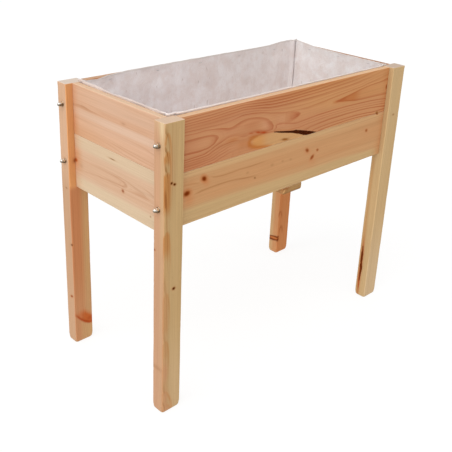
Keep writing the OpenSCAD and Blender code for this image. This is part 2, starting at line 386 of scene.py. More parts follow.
def round_box(co, lo, hi, radius):
    """Move the points of a box lattice onto a box with rounded edges."""
    lo, hi = np.asarray(lo, float), np.asarray(hi, float)
    r = radius(co)[:, None] if callable(radius) else radius
    q = np.clip(co, lo + r, hi - r)
    d = co - q
    n = d / np.maximum(np.linalg.norm(d, axis=1), 1e-9)[:, None]
    return q + n * r, n


# --------------------------------------------------------------------------
# materials
# --------------------------------------------------------------------------

class Net:
    def __init__(self, name):
        self.m = bpy.data.materials.new(name)
        self.m.use_nodes = True
        self.t = self.m.node_tree
        self.t.nodes.clear()
        self.out = self.t.nodes.new("ShaderNodeOutputMaterial")
        self.bsdf = self.t.nodes.new("ShaderNodeBsdfPrincipled")
        self.t.links.new(self.bsdf.outputs[0], self.out.inputs[0])
        self._obj = None

    def node(self, kind, **props):
        n = self.t.nodes.new(kind)
        for k, v in props.items():
            setattr(n, k, v)
        return n

    def put(self, sock, v):
        if v is None:
            return
        if isinstance(v, bpy.types.NodeSocket):
            self.t.links.new(v, sock)
        elif isinstance(v, (tuple, list)) and len(v) == 3 and sock.type == "RGBA":
            sock.default_value = (*v, 1.0)
        else:
            sock.default_value = v

    @property
    def obj(self):
        if self._obj is None:
            self._obj = self.node("ShaderNodeTexCoord").outputs["Object"]
        return self._obj

    def math(self, op, a, b=None, c=None, clamp=False):
        n = self.node("ShaderNodeMath", operation=op, use_clamp=clamp)
        self.put(n.inputs[0], a)
        self.put(n.inputs[1], b)
        self.put(n.inputs[2], c)
        return n.outputs[0]

    def vmath(self, op, a, b=None):
        n = self.node("ShaderNodeVectorMath", operation=op)
        self.put(n.inputs[0], a)
        self.put(n.inputs[1], b)
        return n.outputs["Value"] if op in ("LENGTH", "DOT_PRODUCT", "DISTANCE") else n.outputs[0]

    def sep(self, v):
        n = self.node("ShaderNodeSeparateXYZ")
        self.put(n.inputs[0], v)
        return n.outputs

    def comb(self, x, y, z):
        n = self.node("ShaderNodeCombineXYZ")
        for s, v in zip(n.inputs, (x, y, z)):
            self.put(s, v)
        return n.outputs[0]

    def mix(self, fac, a, b, mode="MIX"):
        n = self.node("ShaderNodeMix", data_type="RGBA", blend_type=mode)
        n.clamp_factor = True
        self.put(n.inputs[0], fac)
        self.put(n.inputs[6], a)
        self.put(n.inputs[7], b)
        return n.outputs[2]

    def mixf(self, fac, a, b):
        n = self.node("ShaderNodeMix", data_type="FLOAT")
        self.put(n.inputs[0], fac)
        self.put(n.inputs[2], a)
        self.put(n.inputs[3], b)
        return n.outputs[0]

    def noise(self, vec, scale, detail=2.0, rough=0.5, dist=0.0):
        n = self.node("ShaderNodeTexNoise", noise_dimensions="3D")
        self.put(n.inputs["Vector"], vec)
        self.put(n.inputs["Scale"], scale)
        self.put(n.inputs["Detail"], detail)
        self.put(n.inputs["Roughness"], rough)
        self.put(n.inputs["Distortion"], dist)
        return n.outputs[0]

    def white(self, w):
        n = self.node("ShaderNodeTexWhiteNoise", noise_dimensions="1D")
        self.put(n.inputs["W"], w)
        return n.outputs[0]

    def remap(self, v, a, b, c=0.0, d=1.0, smooth=True):
        n = self.node("ShaderNodeMapRange", interpolation_type="SMOOTHSTEP" if smooth else "LINEAR")
        n.clamp = True
        for s, x in zip(n.inputs, (v, a, b, c, d)):
            self.put(s, x)
        return n.outputs[0]

    def ramp(self, fac, stops, interp="LINEAR"):
        n = self.node("ShaderNodeValToRGB")
        cr = n.color_ramp
        cr.interpolation = interp
        while len(cr.elements) < len(stops):
            cr.elements.new(0.5)
        for e, (p, c) in zip(cr.elements, stops):
            e.position = p
            e.color = (*c[:3], c[3] if len(c) > 3 else 1.0)
        self.put(n.inputs[0], fac)
        return n.outputs[0], n.outputs[1]

    def place(self, vec, loc, rot, scale):
        n = self.node("ShaderNodeMapping", vector_type="TEXTURE")
        self.put(n.inputs[0], vec)
        n.inputs["Location"].default_value = loc
        n.inputs["Rotation"].default_value = rot
        n.inputs["Scale"].default_value = scale
        return n.outputs[0]

    def attr(self, name):
        return self.node("ShaderNodeAttribute", attribute_name=name).outputs["Fac"]

    def bump(self, height, strength, dist, normal=None):
        n = self.node("ShaderNodeBump")
        self.put(n.inputs["Strength"], strength)
        self.put(n.inputs["Distance"], dist)
        self.put(n.inputs["Height"], height)
        self.put(n.inputs["Normal"], normal)
        return n.outputs[0]

    def set(self, **kw):
        for k, v in kw.items():
            self.put(self.bsdf.inputs[k.replace("_", " ")], v)


KNOT_STYLES = {
    # radius -> colour (display) and how much it covers
    "dark": [(0.00, (118, 44, 0), 1.0), (0.42, (126, 50, 3), 1.0), (0.70, (148, 74, 22), 0.95),
             (1.00, (176, 104, 56), 0.75), (1.50, (188, 118, 72), 0.42), (2.1, (192, 132, 90), 0.0)],
    "red": [(0.00, (144, 66, 24), 1.0), (0.40, (152, 78, 34), 0.97), (0.75, (166, 96, 52), 0.85),
            (1.00, (178, 112, 66), 0.6), (1.40, (190, 124, 80), 0.3), (2.1, (194, 136, 94), 0.0)],
    "fleck": [(0.00, (146, 88, 34), 1.0), (0.50, (152, 94, 42), 0.95), (1.0, (166, 118, 74), 0.5), (1.5, (180, 132, 90), 0.2), (2.1, (190, 140, 96), 0.0)],
    "brown": [(0.00, (138, 88, 46), 0.95), (0.45, (148, 98, 56), 0.8), (0.85, (162, 114, 70), 0.5),
              (1.20, (176, 130, 88), 0.2), (2.1, (190, 140, 96), 0.0)],
    "pin": [(0.00, (84, 32, 0), 1.0), (0.50, (98, 44, 6), 1.0), (0.90, (138, 82, 34), 0.75), (1.3, (180, 118, 70), 0.35), (2.1, (190, 140, 96), 0.0)],
    "ember": [(0.00, (176, 74, 22), 1.0), (0.45, (186, 88, 34), 0.95), (0.90, (200, 118, 66), 0.7), (1.4, (212, 146, 100), 0.3), (2.1, (216, 160, 118), 0.0)],
    "blush": [(0.00, (176, 64, 22), 1.0), (0.50, (176, 76, 34), 0.9), (0.95, (178, 98, 56), 0.55), (1.4, (186, 112, 70), 0.2), (2.1, (190, 120, 80), 0.0)],
    "smudge": [(0.00, (164, 114, 72), 0.42), (0.60, (170, 120, 78), 0.32), (1.1, (180, 130, 88), 0.14), (2.1, (190, 140, 96), 0.0)],
}


def wood(name, axis, light, dark, alt=None, contrast=0.75, masks=(), knots=(), seed=0.0,
         wobble=0.16, fine=0.35, rough=0.62, across=None, alt_amount=0.7, fibre=1.0, tone=1.0,
         own_rings=None, bark=None, bark_tone=((48, 14, 2), (72, 26, 6), (108, 52, 20)), face="y", top=srgb(236, 208, 176), top_light_shade_amount=0.6, gain=None):
    """Planed pine. Rings come from the mesh's ring field, or from own_rings
    (pith point and spacing) on pieces that keep their CAD mesh."""
    n = Net(name)
    P = n.obj
    k = {"x": (0.05, 1, 1), "y": (1, 0.05, 1), "z": (1, 1, 0.05)}[axis]
    S = n.vmath("ADD", n.vmath("MULTIPLY", P, k), (seed * 3.1, seed * 1.7, seed * 2.3))
    kf = {"x": (0.012, 1, 1), "y": (1, 0.012, 1), "z": (1, 1, 0.012)}[axis]
    F = n.vmath("ADD", n.vmath("MULTIPLY", P, kf), (seed * 1.3, seed * 2.9, seed * 0.7))
    big = n.noise(S, 14.0, 2.0, 0.5)
    mid = n.noise(S, 55.0, 3.0, 0.55)
    base = n.mix(n.math("MULTIPLY", n.remap(big, 0.36, 0.66), alt_amount), light, alt or dark)
    base = n.mix(n.remap(mid, 0.35, 0.75, 0.0, 0.22), base, tuple(c * 0.80 for c in light))

    for attr_name, colour, strength in masks:
        base = n.mix(n.math("MULTIPLY", n.attr(attr_name), strength), base, colour)

    # growth rings
    if own_rings:
        (px, py, pz), gap = own_rings
        q = n.vmath("SUBTRACT", P, (px, py, pz))
        q = n.vmath("MULTIPLY", q, {"x": (0.02, 1, 1), "y": (1, 0.02, 1), "z": (1, 1, 0.02)}[axis])
        ring = n.math("DIVIDE", n.vmath("LENGTH", q), gap)
        ring = n.math("ADD", ring, n.math("MULTIPLY", n.noise(S, 12.0, 2.0), 1.6))
        line_gain = 1.0
    else:
        ring = n.attr("ring")
        line_gain = n.attr("line")
    wob = n.math("SUBTRACT", n.noise(S, 70.0, 3.0, 0.55), 0.5)
    ring = n.math("MULTIPLY_ADD", wob, wobble * 2, ring)
    rid = n.math("FLOOR", ring)
    fr = n.math("SUBTRACT", ring, rid)
    amp = n.remap(n.white(n.math("ADD", rid, seed + 0.5)), 0.0, 1.0, 0.45, 1.1, False)
    late = n.math("POWER", n.remap(fr, 0.30, 0.93), 2.4)
    cut = n.remap(fr, 0.955, 1.0, 1.0, 0.0)
    along = n.remap(n.noise(S, 30.0, 2.0), 0.3, 0.7, 0.55, 1.15)
    if not own_rings:
        late = n.mixf(n.attr("soft"), late, n.remap(fr, 0.05, 0.93))
        cut = n.mixf(n.attr("soft"), cut, n.remap(fr, 0.90, 1.0, 1.0, 0.0))
    prof = n.math("MULTIPLY", n.math("MULTIPLY", late, cut), n.math("MULTIPLY", amp, along))
    r3 = n.math("MULTIPLY_ADD", ring, 3.0, n.math("MULTIPLY", mid, 0.9))
    f3 = n.math("FRACT", r3)
    amp3 = n.white(n.math("ADD", n.math("FLOOR", r3), seed + 7.3))
    prof3 = n.math("MULTIPLY", n.math("MULTIPLY", n.remap(f3, 0.35, 0.9), n.remap(f3, 0.92, 1.0, 1.0, 0.0)), amp3)
    total = n.math("MULTIPLY_ADD", prof3, fine, prof)
    total = n.math("MULTIPLY", total, line_gain)
    total = n.math("MULTIPLY", total, contrast, clamp=True)
    ratio = tuple(min(1.0, d / max(1e-4, l)) for d, l in zip(dark, light))
    base = n.mix(total, base, n.mix(1.0, base, ratio, "MULTIPLY"))

    # fibres, and the short dark streaks of the resin canals
    fib = n.noise(F, 900.0, 3.0, 0.6)
    fib2 = n.noise(F, 330.0, 2.0, 0.55)
    base = n.mix(1.0, base, n.ramp(fib, [(0.30, (0.925,) * 3), (0.70, (1.0,) * 3)])[0], "MULTIPLY")
    base = n.mix(fibre, base, n.ramp(fib2, [(0.32, (0.93, 0.92, 0.905)), (0.62, (1.0,) * 3)])[0], "MULTIPLY")
    C = n.vmath("MULTIPLY", P, {"x": (0.09, 1, 1), "y": (1, 0.09, 1), "z": (1, 1, 0.09)}[axis])
    canal = n.noise(C, 1300.0, 1.0, 0.5)
    base = n.mix(n.remap(canal, 0.735, 0.80, 0.0, 0.45), base, tuple(c * 0.35 for c in dark))

    # end grain
    nrm = n.node("ShaderNodeNewGeometry").outputs["Normal"]
    na = n.sep(nrm)["xyz".index(axis)]
    end = n.remap(n.math("ABSOLUTE", na), 0.72, 0.93)
    pores = n.noise(P, 1400.0, 2.0, 0.6)
    endcol = n.mix(1.0, base, n.ramp(pores, [(0.3, (0.78, 0.74, 0.68)), (0.7, (0.97, 0.95, 0.92))])[0], "MULTIPLY")
    base = n.mix(end, base, endcol)
    # painted light: faces turned up are mixed toward the top colour, standing in for stronger light from above
    if not own_rings:
        top_light_and_shade = n.math("MULTIPLY", n.remap(n.sep(nrm)[2], 0.45, 0.95), n.remap(pores, 0.3, 0.7, top_light_shade_amount * 0.85, top_light_shade_amount))
        base = n.mix(top_light_and_shade, base, top)

    # knots
    depth = None
    for i, kn in enumerate(knots):
        c = [v * MM for v in kn["c"]]
        c[2] += DZ * MM
        ra, rb = kn["r"]
        through = kn.get("face", face)
        if through == "y":
            sc = (ra * MM, 50.0, rb * MM)
            rot = (0.0, -math.radians(kn.get("rot", 0.0)), 0.0)
        elif through == "x":
            sc = (50.0, ra * MM, rb * MM)
            rot = (math.radians(kn.get("rot", 0.0)), 0.0, 0.0)
        else:
            sc = (ra * MM, rb * MM, 50.0)
            rot = (0.0, 0.0, math.radians(kn.get("rot", 0.0)))
        if "third" in kn:
            sc = tuple(kn["third"] * MM if s == 50.0 else s for s in sc)
        q = n.place(P, c, rot, sc)
        r = n.vmath("LENGTH", q)
        wv = n.noise(n.vmath("ADD", P, (i * 0.7 + seed, 0.0, 0.0)), 0.45 / (MM * max(2.0, (ra + rb) / 2)), 2.0, 0.6)
        r = n.math("ADD", r, n.math("MULTIPLY", n.math("SUBTRACT", wv, 0.5), kn.get("ragged", 0.5)))
        style = KNOT_STYLES[kn.get("style", "dark")]
        stops = [(p / 2.1, (*srgb(*col, k=tone), a)) for p, col, a in style]
        col, alpha = n.ramp(n.math("DIVIDE", r, 2.1), stops)
        rings = n.math("SINE", n.math("MULTIPLY", r, 24.0))
        col = n.mix(n.math("MULTIPLY", n.remap(rings, -1.0, 1.0, 0.0, 0.22), n.remap(r, 0.9, 1.1, 1.0, 0.0)), col, tuple(c * 0.3 for c in srgb(80, 30, 12)))
        base = n.mix(n.math("MULTIPLY", alpha, kn.get("a", 1.0)), base, col)
        dd = n.math("MULTIPLY", n.remap(r, 0.75, 1.0, 1.0, 0.0), 0.6)
        depth = dd if depth is None else n.math("MAXIMUM", depth, dd)

    roughness = n.remap(n.math("ADD", n.math("MULTIPLY", fib2, 0.5), n.math("MULTIPLY", mid, 0.5)), 0.3, 0.7, rough - 0.07, rough + 0.09)
    if bark:
        b = n.attr("bark")
        bn = n.noise(n.vmath("MULTIPLY", P, (0.35, 1, 1)), 420.0, 3.0, 0.65)
        bcol = n.ramp(bn, [(q_, srgb(*c_)) for q_, c_ in zip((0.30, 0.52, 0.72), bark_tone)])[0]
        base = n.mix(n.remap(b, 0.02, 0.26), base, bcol)
        roughness = n.math("MAXIMUM", roughness, n.math("MULTIPLY", b, 0.92))

    if gain:
        base = n.mix(1.0, base, gain, "MULTIPLY")
    # painted highlight: points near an arris are lightened by 7%
    edge = n.attr("edge") if not own_rings else 0.0
    if not own_rings:
        base = n.mix(edge, base, n.mix(1.0, base, (1.07, 1.07, 1.07), "MULTIPLY"))

    h = n.math("MULTIPLY", fib, 0.45)
    h = n.math("MULTIPLY_ADD", fib2, 0.55, h)
    h = n.math("MULTIPLY_ADD", prof, 0.5 if not own_rings else 0.3, h)
    h = n.math("MULTIPLY_ADD", canal, -0.15, h)
    if depth is not None:
        h = n.math("SUBTRACT", h, n.math("MULTIPLY", depth, 0.4))
    n.set(Base_Color=base, Roughness=roughness, Normal=n.bump(h, 0.45, 0.00035))
    n.bsdf.inputs["Specular IOR Level"].default_value = 0.06
    n.bsdf.inputs["Specular Tint"].default_value = (1.0, 0.70, 0.42, 1.0)
    return n.m


# --------------------------------------------------------------------------
# planks
# --------------------------------------------------------------------------

def quad_normals(co, faces):
    q = np.array([f for f in faces if len(f) == 4])
    n = np.cross(co[q[:, 2]] - co[q[:, 0]], co[q[:, 3]] - co[q[:, 1]])
    out = np.zeros_like(co)
    for k in range(4):
        np.add.at(out, q[:, k], n)
    out /= np.maximum(np.linalg.norm(out, axis=1), 1e-12)[:, None]
    return out


def planed(co, faces, lo, hi, seed, wave=0.16, chips=0.5):
    """Slight unevenness of a planed face and small knocks on the arrises.
    Returns the moved points and how close each point is to an arris."""
    n = quad_normals(co, faces)
    c = (np.asarray(lo) + hi) / 2
    if np.mean(np.sum(n * (co - c), axis=1)) < 0:
        n = -n
    d = np.sort(np.concatenate([co - lo, hi - co], 1), axis=1)
    edge = sstep(d[:, 1], 3.4, 0.8)
    w = (fbm(co / (55.0, 55.0, 55.0), seed, 2) - 0.5) * 2 * wave
    w += (vnoise(co / 13.0, seed + 3) - 0.5) * 0.08
    knock = sstep(vnoise(co / 17.0, seed + 31), 0.76, 0.97) * chips * edge
    soft = sstep(vnoise(co / 70.0, seed + 47), 0.4, 0.9) * 0.25 * edge
    co = co + n * (np.minimum(w, 0.12) - 0.12 - knock - soft)[:, None]
    return co, n, edge


PLANKS = {}


def plank(name, co, faces, lo, hi, ring, mat, nodes, seed, line=None, masks=None, carve=None, bark=None, wave=0.16, chips=0.5, soft=None):
    base = co.copy()
    co, n, edge = planed(co, faces, lo, hi, seed, wave, chips)
    if carve is not None:
        co = co - n * carve(base)[:, None]
    attrs = {"ring": ring(base), "edge": edge, "line": np.ones(len(co)) if line is None else line(base)}
    for k, f in (masks or {}).items():
        attrs[k] = f(base)
    if bark is not None:
        attrs["bark"] = bark(base)
    attrs["soft"] = np.zeros(len(co)) if soft is None else soft(base)
    ob = add_mesh(name, (co + (0, 0, DZ)) * MM, faces, mat, nodes, attrs)
    PLANKS[name] = ob
    return ob


def board(axis, outer, inner, z0, z1, half, upper, step_face=None, stations=None, end_r=1.2):
    """Tongue-and-groove board. outer and inner are the face planes, half its half length."""
    mid = (outer + inner) / 2
    s = 1 if inner > outer else -1
    lo_a, hi_a = min(outer, inner), max(outer, inner)
    g = 3.2 if upper else 3.0
    if upper:
        cs = [(lo_a, z0, 1.5), (mid - g, z0, 0.3), (mid - g, z0 + 6.4, 0.3), (mid + g, z0 + 6.4, 0.3), (mid + g, z0, 0.3),
              (hi_a, z0, 1.5), (hi_a, z1, 2.1), (lo_a, z1, 2.1)]
    else:
        cs = [(lo_a, z0, 2.0), (hi_a, z0, 2.0), (hi_a, z1, 1.5), (mid + g, z1, 0.3), (mid + g, z1 + 6.0, 0.6),
              (mid - g, z1 + 6.0, 0.6), (mid - g, z1, 0.3), (lo_a, z1, 1.5)]

    def step(a, b):
        on_face = abs(a - outer) < 0.01
        if on_face and step_face:
            return step_face(b)
        return 4.0 if on_face else 6.0

    p, nr = outline(cs, step)
    st = stations if stations is not None else list(spaced(-half, half, lambda s_: 5.0))
    co, faces = sweep(p, nr, st, end_r)
    if axis == "y":
        co = co[:, [1, 0, 2]]
    else:
        co = co[:, [0, 1, 2]]
    return co, faces


# ---- front board, upper (X and z in mm from the front left leg's outer corner)

FU_LINES = [
    (0, [(58, 741), (75, 740), (110, 740), (145, 739), (165, 737), (178, 733), (183, 728), (180, 720), (170, 711), (150, 704), (120, 701), (75, 702), (58, 702)]),
    (-0.75, [(62, 721), (90, 721), (120, 722), (145, 724)]),
    (1, [(58, 754), (75, 754), (110, 753), (140, 754), (160, 752), (190, 748), (213, 744), (228, 744), (243, 748), (258, 753), (280, 755.5), (300, 754.5),
         (320, 751), (340, 746), (358, 739), (371, 730), (379, 721), (382, 714), (379, 707)]),
    (1, [(58, 690), (75, 689), (110, 690), (138, 691), (155, 697), (172, 704), (190, 709), (210, 715), (230, 717), (252, 712), (270, 707), (290, 709), (305, 712), (320, 711), (340, 708), (360, 705), (377, 705)]),
    (0.55, [(270, 738), (300, 735), (330, 728), (350, 722), (320, 742), (285, 745)]),
    (0.6, [(205, 730), (225, 729)]),
    (2, [(58, 684), (75, 684), (120, 684), (148, 686), (172, 694), (195, 700), (222, 703), (245, 702), (262, 698)]),
    (3, [(58, 678), (110, 678), (150, 679), (180, 688), (208, 696), (235, 698), (258, 692)]),
    (4, [(58, 671), (120, 672), (160, 675), (190, 684), (218, 691), (243, 690)]),
    (5, [(58, 665), (120, 665.5), (165, 669), (195, 678), (225, 684)]),
    (6, [(58, 659), (120, 659), (170, 662), (200, 670), (230, 675)]),
    (4.2, [(270, 684), (268, 668)]),
    (4.6, [(300, 685), (340, 680), (400, 675), (450, 670), (500, 662)]),
    (3.6, [(400, 699), (420, 695)]),
    (4.2, [(455, 690), (475, 687)]),
    (2, [(392, 713), (420, 712), (450, 706), (475, 703), (520, 706), (570, 709), (640, 710.5), (700, 710.5), (760, 709), (810, 707), (850, 704), (893, 700)]),
    (3, [(440, 697), (470, 696), (520, 699), (560, 701.5), (620, 703), (700, 702.5), (780, 700), (840, 697), (893, 693)]),
    (4, [(490, 689), (520, 692), (560, 694.5), (620, 697), (700, 697), (780, 694), (840, 690), (893, 686)]),
    (5, [(535, 680), (570, 683), (620, 686), (700, 687.5), (760, 687), (820, 684), (860, 680), (893, 676)]),
    (6, [(552, 669), (580, 671), (620, 673), (680, 674), (740, 673.5), (790, 671), (825, 668), (860, 668), (893, 668)]),
    (7, [(590, 663), (640, 665.5), (700, 667), (760, 666), (810, 663)]),
    (1, [(893, 770), (850, 764), (800, 760), (750, 754), (700, 746), (665, 741), (642, 739), (634, 737), (642, 733), (665, 730), (700, 726.5), (725, 722), (760, 720), (820, 718), (893, 715)]),
    (0.4, [(700, 737), (760, 738), (820, 740), (880, 742)]),
    (1.15, [(487, 729), (479, 735), (462, 738), (444, 737)]),
    (1.15, [(487, 729), (475, 721), (458, 718)]),
    (0.75, [(455, 728), (470, 729)]),
    (1.5, [(402, 730), (512, 730), (560, 733), (600, 735)]),
    (2, [(58, 762), (75, 762), (120, 761), (170, 760), (205, 761), (235, 764), (262, 768), (300, 766), (335, 761), (370, 754), (400, 749), (440, 744), (480, 743), (520, 744),
         (580, 748), (640, 753), (700, 758), (750, 762), (800, 769), (850, 776), (893, 782)]),
    (3, [(58, 769), (150, 769), (215, 771), (265, 774.5), (310, 771), (345, 765), (380, 760), (420, 757.5), (470, 755), (520, 754.5), (580, 758), (640, 762.5), (690, 765),
         (740, 769), (800, 777), (850, 785), (893, 790)]),
    (4, [(58, 775), (150, 776), (225, 779.5), (270, 781), (320, 777), (360, 771), (400, 768.5), (440, 768), (480, 769), (520, 769.5), (570, 771), (620, 773.5), (700, 777),
         (740, 780), (800, 787), (860, 796)]),
    (5, [(58, 781), (150, 782), (220, 786), (270, 787.5), (330, 782), (380, 777.5), (430, 776.5), (480, 778), (560, 780), (640, 784), (700, 787), (740, 790), (790, 797)]),
    (6, [(58, 788), (160, 789.5), (260, 794), (310, 791), (360, 786.5), (420, 784.5), (480, 785.5), (560, 788), (640, 793), (700, 797)]),
    (7, [(58, 794), (150, 796), (240, 800.5), (300, 798), (360, 793.5), (430, 791.5), (480, 793), (560, 797)]),
]
SAP = [(292, 685), (296, 691), (307, 696), (330, 698.5), (360, 698.5), (388, 697), (410, 691), (430, 686.5), (450, 682.5), (470, 679), (500, 671), (520, 666.5), (540, 661),
       (560, 658), (562, 640), (372, 640), (372, 657), (355, 661), (330, 665), (308, 670), (298, 677)]
# bark pocket: centre line with its thickness
POCKET = [(384, 697.2, 0.8), (396, 695.2, 1.4), (410, 692.0, 2.0), (430, 688.0, 2.4), (450, 684.4, 2.6), (460, 682.6, 3.2), (470, 680.9, 6.2), (490, 675.6, 7.6),
          (510, 669.0, 9.2), (530, 664.0, 9.4), (545, 661.2, 6.6), (556, 659.6, 3.4), (566, 658.6, 1.4), (574, 658, 0.6)]


def pocket_depth(X, Z, grow=0.0):
    """0 to 1 inside the bark pocket, ragged at its edge."""
    line = [(a, b) for a, b, _ in POCKET]
    d, at = line_dist(X, Z, line)
    seg = np.linalg.norm(np.diff(np.array(line), axis=0), axis=1)
    cum = np.concatenate([[0], np.cumsum(seg)]) / seg.sum()
    half = np.interp(at, cum, [c / 2 for _, _, c in POCKET])
    rag = (fbm(np.stack([X / 7.0, Z / 3.5, np.zeros_like(X)], -1), 71, 2) - 0.5) * 2.4
    return sstep(half + grow * sstep(half, 0.3, 1.6) + rag * np.clip(half / 4.0, 0.15, 1.0) - d, -0.9, 1.3)


fu_map = RingMap(FU_LINES)


def fu_X(co):
    return co[:, 0] + 475.0


def fu_ring(co):
    dep = co[:, 1] + 210.0
    X, Z = fu_X(co), co[:, 2]
    return fu_map(X, Z) + dep / 6.5 + 0.5 * (n1(X, 12, 130.0) - 0.5) * dep / 10.0


def fu_line(co):
    X, Z = fu_X(co), co[:, 2]
    k = np.full(len(co), 0.92)
    k *= 1 - 0.95 * poly_mask(X, Z, SAP, 3.0)
    # the lower left lines run out before the pale tongue
    k *= 1 - 0.95 * sstep(X, 198, 246) * sstep(Z, 708, 697) * sstep(X, 470, 430)
    k *= 1 - 0.75 * blob(X, Z, 262, 714, 60, 9, -4)
    k *= 1 - 0.55 * blob(X, Z, 545, 733, 60, 12)
    k *= 1 - 0.85 * blob(X, Z, 440, 728, 48, 18)
    k *= 1 - 0.9 * blob(X, Z, 345, 722, 16, 12, -30)
    k *= 1 - 0.45 * sstep(X, 60, 200) * sstep(X, 300, 200) * blob(Z, X * 0, 760, 0, 9, 1)
    k *= 1 - 0.12 * sstep(X, 430, 560) * sstep(Z, 752, 775)
    k *= 1 + 0.30 * blob(X, Z, 670, 672, 110, 7)
    k *= 1 + 0.45 * blob(X, Z, 208, 745, 36, 6) + 0.25 * blob(X, Z, 440, 766, 130, 7)
    k *= 1 + 0.35 * sstep(Z, 752, 762) * sstep(X, 180, 330) * sstep(X, 900, 700)
    k *= 1 + 0.60 * sstep(X, 540, 580) * sstep(Z, 714, 706)
    k *= 1 + 0.25 * sstep(X, 190, 150) * sstep(Z, 700, 692)
    return k


def fu_soft(co):
    X, Z = fu_X(co), co[:, 2]
    a = blob(X, Z, 178, 721, 20, 22)
    a = np.maximum(a, 1.3 * blob(X, Z, 368, 722, 22, 24, -40))
    a = np.maximum(a, 0.7 * sstep(Z, 756, 764) * sstep(X, 240, 340))
    a = np.maximum(a, 0.7 * blob(X, Z, 700, 738, 60, 9))
    a = np.maximum(a, 0.5 * blob(X, Z, 330, 745, 34, 8, -20))
    return np.clip(a, 0, 1)


def fu_masks():
    def sap(co):
        X, Z = fu_X(co), co[:, 2]
        front = sstep(co[:, 1], -196.0, -206.0)
        a = poly_mask(X, Z, SAP, 5.0) * (0.25 + 0.75 * front)
        a *= 0.55 + 0.45 * sstep(X, 300, 380)
        return np.clip(a + 0.30 * sstep(X, 575, 620) * sstep(X, 815, 770) * sstep(Z, 668, 661), 0, 1)

    def gold(co):
        X, Z = fu_X(co), co[:, 2]
        a = poly_mask(X, Z, SAP, 5.0) * sstep(X, 366, 328) * sstep(X, 296, 310)
        return np.clip(0.9 * a, 0, 1)

    def halo(co):
        X, Z = fu_X(co), co[:, 2]
        d, at = line_dist(X, Z, [(346, 702), (325, 700.5), (306, 698), (294, 694), (291, 688), (293, 681), (303, 674), (322, 668.5), (345, 665), (376, 660.5)])
        w = np.interp(at, [0, 0.2, 0.42, 0.6, 1.0], [2.2, 3.6, 8.6, 5.8, 4.4])
        g = np.interp(at, [0, 0.2, 0.42, 0.6, 0.85, 1.0], [0.35, 0.75, 1.0, 0.95, 0.85, 0.55])
        return np.clip(g * np.exp(-(d / w) ** 2), 0, 1)

    def orange(co):
        X, Z = fu_X(co), co[:, 2]
        a = 0.40 * blob(X, Z, 268, 690, 20, 15)
        a = np.maximum(a, 0.55 * blob(X, Z, 232, 708, 24, 7.5))
        a = np.maximum(a, 0.40 * blob(X, Z, 305, 703, 24, 5))
        d, _ = line_dist(X, Z, [(384, 700.5), (410, 697), (440, 691), (462, 687)])
        a = np.maximum(a, 0.45 * np.exp(-(d / 2.6) ** 2))
        w = poly_mask(X, Z, [(632, 735), (665, 742), (700, 746), (742, 751), (800, 757), (810, 738), (800, 720), (742, 722), (700, 725.5), (665, 729)], 4.0)
        a = np.maximum(a, 0.82 * w * sstep(X, 782, 715))
        a = np.maximum(a, 0.75 * blob(X, Z, 305, 701, 20, 5.0, -6))
        a = np.maximum(a, 0.8 * blob(X, Z, 645, 735, 18, 4.5))
        a = np.maximum(a, 0.22 * sstep(X, 690, 730) * sstep(X, 900, 780) * sstep(abs(Z - 739), 26, 10))
        a = np.maximum(a, 0.25 * sstep(X, 850, 888))
        a = np.maximum(a, 0.35 * blob(X, Z, 450, 788, 160, 10) + 0.30 * blob(X, Z, 640, 795, 120, 8))
        return np.clip(a, 0, 1)

    def red(co):
        X, Z = fu_X(co), co[:, 2]
        a = 1.0 * blob(X, Z, 337, 706, 25, 4.8, -9)
        d, _ = line_dist(X, Z, [(344, 703.5), (362, 700.6), (378, 698.6), (392, 696.8)])
        a = np.maximum(a, 0.75 * np.exp(-(d / 2.4) ** 2))
        a = np.maximum(a, 0.70 * blob(X, Z, 648, 735, 17, 4.2))
        a = np.maximum(a, 0.42 * blob(X, Z, 305, 711, 20, 4.5, -10))
        a = np.maximum(a, 0.30 * blob(X, Z, 272, 714, 14, 4))
        a = np.maximum(a, 0.36 * blob(X, Z, 295, 734, 34, 10))
        wedge = poly_mask(X, Z, [(424, 745), (455, 741), (478, 735.5), (488, 729), (476, 721.5), (452, 714), (424, 709)], 2.2)
        a = np.maximum(a, wedge * (0.20 + 0.70 * sstep(X, 424, 482)))
        a = np.maximum(a, 0.30 * sstep(X, 150, 60) * sstep(abs(Z - 722), 34, 6))
        a = np.maximum(a, 0.34 * blob(X, Z, 100, 674, 80, 16))
        a = np.maximum(a, 0.22 * blob(X, Z, 170, 770, 110, 14))
        return np.clip(a, 0, 1)

    def pink(co):
        X, Z = fu_X(co), co[:, 2]
        a = 0.95 * blob(X, Z, 349, 724, 20, 14, -42)
        a = np.maximum(a, 0.35 * blob(X, Z, 110, 719, 45, 12))
        a = np.maximum(a, 0.60 * blob(X, Z, 407, 727, 22, 13, -20))
        a = np.maximum(a, 0.45 * blob(X, Z, 420, 704, 40, 8, -8))
        a = np.maximum(a, 0.45 * blob(X, Z, 232, 764, 60, 8, 6))
        a = np.maximum(a, 0.40 * blob(X, Z, 215, 732, 34, 9))
        a = np.maximum(a, 0.25 * blob(X, Z, 180, 674, 70, 10, 12))
        return np.clip(a, 0, 1)

    def warm(co):
        X, Z = fu_X(co), co[:, 2]
        return np.clip(sstep(X, 300, 620) * sstep(Z, 700, 760) + 0.45 * sstep(X, 480, 700), 0, 1)

    return {"m_sap": sap, "m_gold": gold, "m_halo": halo, "m_orange": orange, "m_red": red, "m_pink": pink, "m_warm": warm}


def fu_carve(co):
    X, Z = fu_X(co), co[:, 2]
    on = (co[:, 1] < -209.0) & (Z > 661.0)
    d = pocket_depth(X, Z) * on * sstep(Z, 660.8, 663.5)
    rough = fbm(np.stack([X / 5.0, Z / 2.5, np.zeros_like(X)], -1), 91, 3)
    groove = d * (2.2 + 2.6 * rough)
    kn = 0.35 * blob(X, Z, 430, 668, 12, 2.5, -10) * (co[:, 1] < -209)
    return groove + kn


